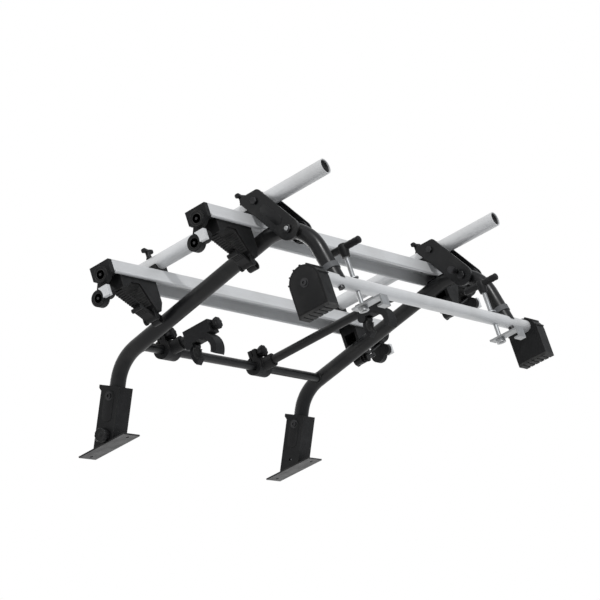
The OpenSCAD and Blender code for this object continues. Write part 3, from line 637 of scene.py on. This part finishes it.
def add_shoe_knobs(plastic, zinc):
    """Fluted round bosses on the outer side of the upper shoes."""
    for side, away in OUTWARDS:
        node = f"{side}_shoe_knob"
        low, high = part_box(node)
        radius = (high.z - low.z) / 2
        outer = low.x if away < 0 else high.x
        thick = SHOE_KNOB_THICK
        face = Vector((outer - away * thick, middle(node).y, middle(node).z))
        profile = [
            (0.0, 0.86 * radius), (0.1 * thick, 0.97 * radius),
            (0.25 * thick, radius), (0.7 * thick, radius),
            (0.88 * thick, 0.93 * radius), (0.95 * thick, 0.84 * radius),
            (0.9 * thick, 0.72 * radius), (0.86 * thick, 0.4 * radius),
            (0.93 * thick, 0.3 * radius), (thick, 0.16 * radius),
        ]
        body = f"{side} shoe knob"
        grip = Piece(f"{node}_grip", plastic, body, "knob_plastic")
        grip.turned(face, (away, 0, 0), profile, sides=96, ripple=flutes(count=12, depth=0.06))
        grip.done(replaces=[node])
        stud = Piece(f"{node}_stud", zinc, body, "zinc_steel")
        shaft = [(-thick / 3, SHOE_STUD_RADIUS), (high.x - low.x - thick, SHOE_STUD_RADIUS)]
        stud.turned(face, (-away, 0, 0), shaft, sides=24)
        stud.done()


def wing_rings(low, high):
    """Rings along the wing of a T knob, which is thicker at its rounded ends."""
    centre = (low + high) / 2
    half = (high.x - low.x) / 2
    end_rounds = {1.0: 0.55, 0.95: 0.85}
    rings = []
    for share in (-1.0, -0.95, -0.85, -0.6, -0.3, 0.0, 0.3, 0.6, 0.85, 0.95, 1.0):
        end_round = end_rounds.get(abs(share), 1.0)
        thick = KNOB_WING_THICK * (0.72 + 0.28 * abs(share)) * end_round
        tall = (high.z - low.z) * (0.55 + 0.3 * abs(share)) * end_round
        rings.append([
            (centre.x + share * half, low.y + KNOB_WING_THICK / 2 - across, centre.z + up)
            for across, up in rounded_ring(thick, tall)
        ])
    return rings


def add_tray_knobs(plastic):
    """T knobs on the rails, each a flared hub with a wing."""
    for corner in CORNERS:
        node = f"{corner}_knob"
        low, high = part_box(node)
        centre = middle(node)
        body = node.replace("_", " ")
        hub_length = high.y - low.y - KNOB_WING_THICK
        seat = Vector((centre.x, high.y, centre.z))
        knob = Piece(f"{node}_grip", plastic, body, "knob_plastic")
        radius = KNOB_HUB_RADIUS
        hub = [
            (0.0, radius), (0.12 * hub_length, radius), (0.3 * hub_length, 0.78 * radius),
            (0.7 * hub_length, 0.72 * radius), (hub_length + KNOB_WING_THICK / 2, 0.8 * radius),
        ]
        knob.turned(seat, (0, -1, 0), hub)
        knob.lofted(wing_rings(low, high))
        knob.done(replaces=[node])


def palm_profile(half):
    """Profile of a T handle's bar: palm rings between two domed ends."""
    dome = [
        (0.95 * half, 0.95 * BAR_RADIUS), (0.985 * half, 0.75 * BAR_RADIUS),
        (half, 0.45 * BAR_RADIUS),
    ]
    rings = []
    for step in range(-PALM_RINGS, PALM_RINGS + 1):
        swell = 1.0 if step % 2 == 0 else PALM_GROOVE
        rings.append((step / PALM_RINGS * 0.9 * half, swell * BAR_RADIUS))
    return [(-height, radius) for height, radius in reversed(dome)] + rings + dome


def thread_profile(length):
    """Profile of a spindle's thread: crest for half of each turn, root for the other half."""
    threads = []
    for step in range(int(length / THREAD_PITCH) * THREAD_STEPS):
        share = THREAD_CREST if step % THREAD_STEPS < THREAD_STEPS / 2 else THREAD_ROOT
        threads.append((step * THREAD_PITCH / THREAD_STEPS, share * SPINDLE_RADIUS))
    return threads


def add_tension_handles(plastic, zinc):
    """T handles: a bar with palm rings, a hub, and a threaded spindle with its washer."""
    tube_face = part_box("lower_cross_tube")[0].y
    for side in SIDES:
        node = f"{side}_tension_handle"
        low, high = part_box(node)
        centre = middle(node)
        body = f"{side} tension handle"
        bar_y = low.y + BAR_RADIUS
        bar = Piece(f"{side}_tension_bar", plastic, body, "knob_plastic")
        palm = palm_profile((high.z - low.z) / 2)
        bar.turned((centre.x, bar_y, centre.z), (0, 0, 1), palm, sides=40)
        hub = [
            (-BAR_RADIUS, 0.8 * HUB_RADIUS), (-0.6 * BAR_RADIUS, HUB_RADIUS),
            (0.9 * BAR_RADIUS, HUB_RADIUS), (HUB_LENGTH, 0.82 * HUB_RADIUS),
        ]
        bar.turned((centre.x, bar_y, centre.z), (0, 1, 0), hub, sides=40)
        bar.done(replaces=[node])
        spindle = Piece(f"{side}_tension_spindle", zinc, body, "zinc_steel")
        shaft = [(0.0, SPINDLE_RADIUS), (high.y - bar_y, SPINDLE_RADIUS)]
        spindle.turned((centre.x, high.y, centre.z), (0, -1, 0), shaft, sides=24)
        seat_y = tube_face - WASHER_THICK
        threads = thread_profile(seat_y - bar_y - HUB_LENGTH)
        spindle.turned((centre.x, seat_y, centre.z), (0, -1, 0), threads, sides=24)
        washer = [
            (0.0, WASHER_RADIUS), (0.8 * WASHER_THICK, WASHER_RADIUS),
            (WASHER_THICK, 0.9 * WASHER_RADIUS),
        ]
        spindle.turned((centre.x, tube_face, centre.z), (0, -1, 0), washer)
        spindle.done()


def add_welds(paint):
    """Rippled weld beads where the upper cross tube meets the hoops."""
    tube_low, tube_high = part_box("upper_cross_tube")
    radius = (tube_high.z - tube_low.z) / 2
    centre = middle("upper_cross_tube")
    for side, away in OUTWARDS:
        hoop_low, hoop_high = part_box(f"{side}_hoop")
        hoop_radius = (hoop_high.x - hoop_low.x) / 2
        hoop_x = (hoop_high.x + hoop_low.x) / 2
        bead = Piece(f"{side}_weld", paint, "frame", "black_steel")
        reach = radius + WELD_LIFT * WELD_RADIUS
        rings = []
        for step in range(WELD_STEPS + 1):
            angle = 2 * math.pi * step / WELD_STEPS
            ripple = 1.0 + WELD_RIPPLE_DEPTH * math.sin(WELD_RIPPLES * angle)
            square_off = reach * math.cos(angle - HOOP_LEAN)
            inset = math.sqrt(max(hoop_radius ** 2 - square_off ** 2, 0.0))
            outward = Vector((0.0, -math.cos(angle), math.sin(angle)))
            spot = Vector((hoop_x - away * inset, centre.y, centre.z)) + reach * outward
            ring = []
            for side_step in range(WELD_SIDES):
                turn = 2 * math.pi * side_step / WELD_SIDES
                around = math.cos(turn) * outward + math.sin(turn) * Vector((1.0, 0.0, 0.0))
                ring.append(spot + WELD_RADIUS * ripple * around)
            rings.append(ring)
        bead.lofted(rings)
        bead.done()


def add_rail_caps(plastic):
    """Dished caps sunk in the ends of the rails."""
    low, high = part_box("rail_caps")
    rail_low, rail_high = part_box("left_rail")
    radius = (rail_high.x - rail_low.x) / 2 - RAIL_WALL - CAP_ROOM
    profile = [
        (0.0, 0.96 * radius), (0.2 * CAP_LENGTH, radius),
        (0.9 * CAP_LENGTH, radius), (CAP_LENGTH, 0.93 * radius),
        (0.97 * CAP_LENGTH, 0.84 * radius), (0.86 * CAP_LENGTH, 0.76 * radius),
        (0.84 * CAP_LENGTH, 0.3 * radius), (0.9 * CAP_LENGTH, 0.2 * radius),
    ]
    for side in SIDES:
        centre = middle(f"{side}_rail")
        for end, outer, out in (("low", low.z, -1), ("high", high.z, 1)):
            cap = Piece(f"{side}_rail_{end}_cap", plastic, "platform", "black_plastic")
            foot = (centre.x, centre.y, outer - out * CAP_LENGTH)
            cap.turned(foot, (0, 0, out), profile, sides=56)
            cap.done(replaces=["rail_caps"])


def arc_pad(centre, x_low, x_high, first, last, teeth):
    """Rings of a toothed pad inside a frame grip, between two angles."""
    crest = GRIP_INNER - PAD_THICK
    outer = GRIP_INNER + PAD_SINK
    root = (crest + outer) / 2
    rings = []
    steps = teeth * PAD_TOOTH_STEPS
    for step in range(steps + 1):
        angle = math.radians(first + (last - first) * step / steps)
        inner = crest if step % PAD_TOOTH_STEPS in (1, 2) else root
        out = -math.cos(angle)
        up = math.sin(angle)
        rings.append([
            (x, centre.y + radius * out, centre.z + radius * up)
            for x, radius in ((x_low, inner), (x_high, inner), (x_high, outer), (x_low, outer))
        ])
    return rings


def add_grip_pads(soft):
    """Toothed rubber pads inside the frame grips and their jaws."""
    for arm in ARMS:
        low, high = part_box(f"{arm}_grip")
        x_low, x_high = low.x + PAD_INSET, high.x - PAD_INSET
        tube = middle(f"{arm}_arm_tube")
        centre = Vector((tube.x, tube.y + GRIP_OFFSET, low.z + GRIP_OUTER))
        pad = Piece(f"{arm}_grip_pad", soft, f"{arm} arm", "rubber")
        pad.lofted(arc_pad(centre, x_low, x_high, GRIP_PAD_FROM, GRIP_PAD_TO, GRIP_PAD_TEETH))
        pad.done()
        jaw_pad = Piece(f"{arm}_jaw_pad", soft, f"{arm} grip jaw", "rubber")
        jaw_pad.lofted(arc_pad(centre, x_low, x_high, JAW_PAD_FROM, JAW_PAD_TO, JAW_PAD_TEETH))
        jaw_pad.done()


def holder_place(corner):
    """Function from (distance in, rise, height) on a wheel holder to a point in the row frame."""
    low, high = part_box(f"{corner}_holder")
    tray, side = corner.split("_")
    door_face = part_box(f"{tray}_tray")[1].y
    level = (low.z + high.z) / 2
    start, inwards = (low.x, 1) if side == "left" else (high.x, -1)
    return lambda along, rise, height: Vector(
        (start + inwards * along, door_face + rise, level + height)
    )


def holder_body(corner):
    """Body that a wheel holder belongs to."""
    return f"{corner} holder".replace("_", " ")


def toothed_strip(place, start, end):
    """Rings of a ribbed rubber strip between two points of a holder's outline."""
    run, climb = end[0] - start[0], end[1] - start[1]
    length = math.hypot(run, climb)
    teeth = round(length / LINING_PITCH)
    tooth = ((0.0, LINING_THICK), (0.2, LINING_TOOTH), (0.6, LINING_TOOTH), (0.8, LINING_THICK))
    rings = []
    for step in range(teeth):
        for share, thick in tooth:
            along = (step + share) / teeth
            foot = (start[0] + along * run, start[1] + along * climb)
            top = (foot[0] - thick * climb / length, foot[1] + thick * run / length)
            rings.append([
                place(*foot, -LINING_WIDTH / 2), place(*foot, LINING_WIDTH / 2),
                place(*top, LINING_WIDTH / 2), place(*top, -LINING_WIDTH / 2),
            ])
    return rings


def between(start, end, share):
    """Point at a share of the way between two points of a holder's outline."""
    return tuple(a + share * (b - a) for a, b in zip(start, end))


def add_holder_linings(soft):
    """Ribbed rubber in the cradle of each wheel holder, under the tyre."""
    cradle_from, cradle_to = (CRADLE_START, CRADLE_LOW), (CRADLE_END, CRADLE_LOW)
    lip_from = between((LIP_RUN, LIP_RISE), cradle_from, LINING_LIP_SHARE)
    ramp_to = between(cradle_to, (RAMP_START, RAMP_RISE), LINING_RAMP_SHARE)
    for corner in CORNERS:
        place = holder_place(corner)
        lining = Piece(f"{corner}_lining", soft, holder_body(corner), "rubber")
        for start, end in ((lip_from, cradle_from), (cradle_from, cradle_to), (cradle_to, ramp_to)):
            lining.lofted(toothed_strip(place, start, end))
        lining.done()


def ridge_outline(distance):
    """Half-round outline of a lever's ridge at a distance from the lever's pin."""
    run, climb = RAMP_START - STRAP_FROM[0], RAMP_RISE - STRAP_FROM[1]
    along = -Vector((run, climb)).normalized()
    outward = Vector((along.y, -along.x))
    outline = []
    for step in range(RIDGE_STEPS + 1):
        turn = math.pi * step / RIDGE_STEPS
        shift = distance - RIDGE_RISE * math.cos(turn)
        rise = LEVER_HALF_THICK - RIDGE_RISE / 4 + RIDGE_RISE * math.sin(turn)
        outline.append(Vector(LEVER_PIN) + shift * along + rise * outward)
    return outline


def add_lever_ridges(plastic):
    """Finger ridges across the free end of each buckle lever, which lies along the strap."""
    for corner in CORNERS:
        place = holder_place(corner)
        body = f"{corner} lever".replace("_", " ")
        ridges = Piece(f"{corner}_lever_ridges", plastic, body, "strap_plastic")
        for distance in LEVER_RIDGES:
            outline = ridge_outline(distance)
            ridges.lofted([
                [place(*spot, edge * RIDGE_HALF_WIDTH) for spot in outline] for edge in (-1, 1)
            ])
        ridges.done()


def pocket_top(along):
    """Rise of the upper edge of a holder's side pocket at a distance in."""
    corner_in, corner_rise = POCKET_CORNER
    climb = (corner_rise - CRADLE_LOW) / (corner_in - POCKET_START)
    climbing = CRADLE_LOW + (along - POCKET_START) * climb
    return min(climbing, corner_rise - (along - corner_in) * POCKET_FALL)


def add_holder_ribs(plastic):
    """Moulded stiffening ribs in the side pockets of each wheel holder."""
    for corner in CORNERS:
        low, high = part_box(f"{corner}_holder")
        place = holder_place(corner)
        outer = (high.z - low.z) / 2 - RIB_THICK / 2
        inner = outer - POCKET_DEPTH
        ribs = Piece(f"{corner}_ribs", plastic, holder_body(corner), "black_plastic")
        for along in POCKET_RIBS:
            for edge in (-1, 1):
                sections = []
                for end in (along - RIB_THICK / 2, along + RIB_THICK / 2):
                    top = pocket_top(end)
                    sections.append([
                        place(end, CRADLE_LOW, edge * inner), place(end, CRADLE_LOW, edge * outer),
                        place(end, top, edge * outer), place(end, top, edge * inner),
                    ])
                ribs.lofted(sections)
        ribs.done()


def foot_outline(x, inset):
    """Points of the D shape of a lower foot at one x, drawn in by an inset."""
    reach, rise = FOOT_CENTRE
    radius = FOOT_RADIUS - inset
    arc = [math.radians(90.0 - 180.0 * step / FOOT_STEPS) for step in range(FOOT_STEPS + 1)]
    points = [(2 * inset, rise + radius)]
    points += [(reach + radius * math.cos(angle), rise + radius * math.sin(angle)) for angle in arc]
    points += [(2 * inset, rise - radius)]
    return [Vector((x, -out, up)) for out, up in points]


def socket_screw():
    """Profile of a socket screw on a washer, standing on a raised panel."""
    washer = 3 * SCREW_RADIUS
    head = 1.9 * SCREW_RADIUS
    socket = SCREW_RADIUS
    return [
        (0.0, washer), (1.5 * PANEL_RISE, washer),
        (1.5 * PANEL_RISE, head), (3.5 * PANEL_RISE, head),
        (4 * PANEL_RISE, 0.8 * head), (4 * PANEL_RISE, socket), (2 * PANEL_RISE, socket),
    ]


def raised_pill(centre, along, across, length, width):
    """Rings of a raised panel with round ends, about a centre on a face."""
    outward = along.cross(across)
    rings = []
    for level, inset in ((-PANEL_RISE, 0.0), (PANEL_RISE / 2, 0.0), (PANEL_RISE, PANEL_RISE)):
        radius = width / 2 - inset
        ring = []
        for step in range(PILL_STEPS):
            angle = 2 * math.pi * (step + 0.5) / PILL_STEPS
            straight = math.copysign((length - width) / 2, math.cos(angle))
            ring.append(
                centre + (straight + radius * math.cos(angle)) * along
                + radius * math.sin(angle) * across + level * outward
            )
        rings.append(ring)
    return rings


def out_point(x, reach, height):
    """Point of the row frame at a reach outwards from the door."""
    return Vector((x, -reach, height))


def add_shoe_panels(plastic, zinc):
    """Raised panel and a clamp screw on both faces of each upper shoe, in line with the leg."""
    door_end, corner = out_point(0.0, *DOOR_END), out_point(0.0, *TOP_CORNER)
    leg = (corner - door_end).normalized()
    for side, away in OUTWARDS:
        panel = Piece(f"{side}_shoe_panels", plastic, "frame", "black_plastic")
        screws = Piece(f"{side}_shoe_screws", zinc, "frame", "zinc_steel")
        for face in (-1, 1):
            outward = Vector((face, 0.0, 0.0))
            on_face = Vector((away * HOOP_X + face * SHOE_HALF, 0.0, 0.0)) + door_end
            centre = on_face + (SHOE_PANEL_FROM + SHOE_PANEL_TO) / 2 * leg
            length = SHOE_PANEL_TO - SHOE_PANEL_FROM
            panel.lofted(raised_pill(centre, leg, outward.cross(leg), length, SHOE_PANEL_WIDTH))
            screw_place = on_face + (SHOE_PANEL_TO - SHOE_PANEL_WIDTH / 2) * leg
            screws.turned(screw_place, outward, socket_screw(), sides=48)
        panel.done()
        screws.done()


def add_bracket_panels(paint):
    """Pressed panel between the two bolts on the outer plate of each folding bracket."""
    pivot = fold_pivot()
    for side, away in OUTWARDS:
        outward = Vector((away, 0.0, 0.0))
        near_bolt = Vector((away * (HOOP_X + BRACKET_OUTER), pivot.y, pivot.z))
        far_bolt = near_bolt + Vector((0.0, -RAIL_OFFSET, RAIL_BOLT_RISE))
        along = (far_bolt - near_bolt).normalized()
        length = (far_bolt - near_bolt).length - 2 * BRACKET_PANEL_INSET
        panel = Piece(f"{side}_bracket_panel", paint, "platform", "black_steel")
        centre = (near_bolt + far_bolt) / 2
        panel.lofted(raised_pill(centre, along, outward.cross(along), length, BRACKET_PANEL_WIDTH))
        panel.done()


def add_foot_panels(plastic, zinc):
    """Raised panel and a screw on the outer face of each lower foot."""
    low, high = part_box("lower_feet")
    reach, rise = FOOT_CENTRE
    levels = (
        (-PANEL_RISE, FOOT_PANEL_INSET),
        (PANEL_RISE / 2, FOOT_PANEL_INSET),
        (PANEL_RISE, 1.2 * FOOT_PANEL_INSET),
    )
    for side, face_x, away in (("left", low.x, -1), ("right", high.x, 1)):
        panel = Piece(f"{side}_foot_panel", plastic, "frame", "black_plastic")
        panel.lofted([foot_outline(face_x + away * out, inset) for out, inset in levels])
        panel.done()
        screw = Piece(f"{side}_foot_screw", zinc, "frame", "zinc_steel")
        screw.turned((face_x, -reach, rise), (away, 0, 0), socket_screw(), sides=48)
        screw.done()


def lobe_ring(radius):
    """Profile of a raised ring on a lobe, with its floor drawn in to the middle."""
    return [
        (0.0, radius), (2 * RING_RISE, 0.99 * radius),
        (2.2 * RING_RISE, 0.95 * radius), (2 * RING_RISE, 0.9 * radius),
        (1.1 * RING_RISE, 0.87 * radius), (1.1 * RING_RISE, 0.2 * radius),
    ]


def add_lobe_rings(plastic, zinc):
    """Raised rings and a screw on the face of each tray end lobe."""
    head = [
        (0.0, SCREW_RADIUS), (2.2 * RING_RISE, SCREW_RADIUS), (3 * RING_RISE, 0.6 * SCREW_RADIUS),
    ]
    low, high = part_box("tray_end_caps")
    for tray in TRAYS:
        tray_low, tray_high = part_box(f"{tray}_tray")
        level = (tray_low.z + tray_high.z) / 2
        for side, away in OUTWARDS:
            face_x = low.x if away < 0 else high.x
            trim = Piece(f"{tray}_{side}_lobe_rings", plastic, "platform", "black_plastic")
            screws = Piece(f"{tray}_{side}_lobe_screws", zinc, "platform", "zinc_steel")
            for reach_in, rise in ((TRAY_LOBE_IN, 0.0), (-DOOR_LOBE_OUT, DOOR_LOBE_RISE)):
                spot = Vector((face_x - away * RING_RISE, tray_high.y - reach_in, level + rise))
                for radius in (0.92 * LOBE_RADIUS, 0.62 * LOBE_RADIUS):
                    trim.turned(spot, (away, 0, 0), lobe_ring(radius), sides=56)
                screws.turned(spot, (away, 0, 0), head, sides=6)
            trim.done()
            screws.done()


def fold_pivot():
    """Where the platform's fold turns."""
    fold = [joint for joint in frame["joints"] if joint["name"] == "platform_fold"][0]
    return Vector(fold["pos_m"])


def add_pivot_studs(zinc):
    """Bright end of each pivot bolt's thread, standing out of its nut."""
    pivot = fold_pivot()
    radius = PIVOT_HEAD_RADIUS / 2
    profile = [
        (-STUD_END_RISE, radius), (0.7 * STUD_END_RISE, radius), (STUD_END_RISE, 0.85 * radius),
    ]
    for side, away in OUTWARDS:
        nut_face = Vector((away * (HOOP_X + BRACKET_OUTER + BOLT_HEAD_THICK), pivot.y, pivot.z))
        stud = Piece(f"{side}_pivot_stud", zinc, "frame", "zinc_steel")
        stud.turned(nut_face, (away, 0, 0), profile, sides=32)
        stud.done()


def add_bolt_heads(dark):
    """Chamfered hexagon heads on both ends of the bolts of the folding brackets."""
    pivot = fold_pivot()
    rail_y = middle("left_rail").y
    bolts = (
        ("pivot_bolt", "frame", pivot.y, pivot.z, PIVOT_HEAD_RADIUS),
        ("rail_bolt", "platform", rail_y, pivot.z + RAIL_BOLT_RISE, RAIL_HEAD_RADIUS),
    )
    for name, body, y, z, corner in bolts:
        profile = [
            (0.0, corner), (0.8 * BOLT_HEAD_THICK, corner), (BOLT_HEAD_THICK, 0.86 * corner),
        ]
        for side in SIDES:
            heads = Piece(f"{side}_{name}_heads", dark, body, "zinc_steel")
            for away in (-1, 1):
                spot = (middle(f"{side}_rail").x + away * BRACKET_OUTER, y, z)
                heads.turned(spot, (away, 0, 0), profile, sides=48, ripple=hexagon)
            heads.done()


def make_floor():
    """Plain pale floor below the camera, which lets the key light through.

    The photograph's sky is below the rack in the row frame, so the key light comes from there.
    """
    bpy.ops.mesh.primitive_plane_add(size=FLOOR_WIDTH, location=(0.0, 0.0, FLOOR_HEIGHT))
    floor = bpy.context.object
    floor.name = "floor"
    pale = Surface("pale_floor")
    pale.shader.inputs["Base Color"].default_value = FLOOR_COLOUR
    pale.shader.inputs["Roughness"].default_value = FLOOR_ROUGHNESS
    floor.data.materials.append(pale.material)
    floor.visible_shadow = False


def make_world():
    """White behind the rack, and a softer, slightly blue sky as the light on it."""
    world = bpy.data.worlds.new("sky")
    bpy.context.scene.world = world
    world.use_nodes = True
    nodes, links = world.node_tree.nodes, world.node_tree.links
    nodes.clear()
    output = nodes.new("ShaderNodeOutputWorld")
    sky = nodes.new("ShaderNodeBackground")
    sky.inputs["Color"].default_value = SKY_COLOUR
    sky.inputs["Strength"].default_value = SKY_STRENGTH
    white = nodes.new("ShaderNodeBackground")
    white.inputs["Color"].default_value = WHITE
    path = nodes.new("ShaderNodeLightPath")
    seen = nodes.new("ShaderNodeMath")
    seen.operation = "ADD"
    links.new(path.outputs["Is Camera Ray"], seen.inputs[0])
    links.new(path.outputs["Is Glossy Ray"], seen.inputs[1])
    shown = nodes.new("ShaderNodeMath")
    shown.operation = "ADD"
    shown.use_clamp = True
    links.new(seen.outputs["Value"], shown.inputs[0])
    links.new(path.outputs["Is Transmission Ray"], shown.inputs[1])
    mix = nodes.new("ShaderNodeMixShader")
    links.new(shown.outputs["Value"], mix.inputs["Fac"])
    links.new(sky.outputs["Background"], mix.inputs[1])
    links.new(white.outputs["Background"], mix.inputs[2])
    links.new(mix.outputs["Shader"], output.inputs["Surface"])


def make_sun(name, towards, strength, spread):
    """Sun lamp that stands towards a direction, with a spread in degrees that softens shadows."""
    lamp = bpy.data.lights.new(name, "SUN")
    lamp.energy = strength
    lamp.angle = math.radians(spread)
    sun = bpy.data.objects.new(name, lamp)
    sun.rotation_mode = "QUATERNION"
    sun.rotation_quaternion = Vector(towards).to_track_quat("Z", "Y")
    bpy.context.scene.collection.objects.link(sun)


def make_camera():
    """Camera at the photograph's angle: left of the rack, on the door's side, below and rolled."""
    back = CAMERA_FROM_RACK.normalized()
    up = (PHOTO_UP - PHOTO_UP.dot(back) * back).normalized()
    right = up.cross(back)
    data = bpy.data.cameras.new("camera")
    data.sensor_width = SENSOR_WIDTH
    data.lens = SENSOR_WIDTH * CAMERA_DISTANCE / PICTURE_WIDTH
    data.clip_start = NEAREST_SEEN
    data.clip_end = FARTHEST_SEEN
    camera = bpy.data.objects.new("camera", data)
    place = CAMERA_TARGET + CAMERA_FROM_RACK
    turn = Matrix((right, up, back)).transposed()
    camera.matrix_world = Matrix.Translation(place) @ turn.to_4x4()
    bpy.context.scene.collection.objects.link(camera)
    bpy.context.scene.camera = camera


paint_nodes()
add_hand_knobs(finish("knob_nylon"), finish("zinc_plate"))
add_shoe_knobs(finish("knob_nylon"), finish("zinc_plate"))
add_tray_knobs(finish("knob_nylon"))
add_tension_handles(finish("knob_nylon"), finish("zinc_plate"))
add_welds(finish("black_powder_coat"))
add_rail_caps(finish("black_nylon"))
add_grip_pads(finish("foot_rubber"))
add_holder_linings(finish("foot_rubber"))
add_holder_ribs(finish("black_nylon"))
add_lever_ridges(finish("strap_nylon"))
add_pivot_studs(finish("zinc_plate"))
add_foot_panels(finish("black_nylon"), finish("black_zinc"))
add_shoe_panels(finish("black_nylon"), finish("black_zinc"))
add_bracket_panels(finish("black_powder_coat"))
add_lobe_rings(finish("black_nylon"), finish("black_zinc"))
add_bolt_heads(finish("black_zinc"))
make_floor()
make_world()
make_sun("key", towards=(-0.45, -0.55, -0.65), strength=1.9, spread=7.0)
make_sun("fill", towards=(0.5, -0.2, 0.8), strength=0.9, spread=40.0)
make_camera()

bpy.context.scene.view_settings.view_transform = "Standard"
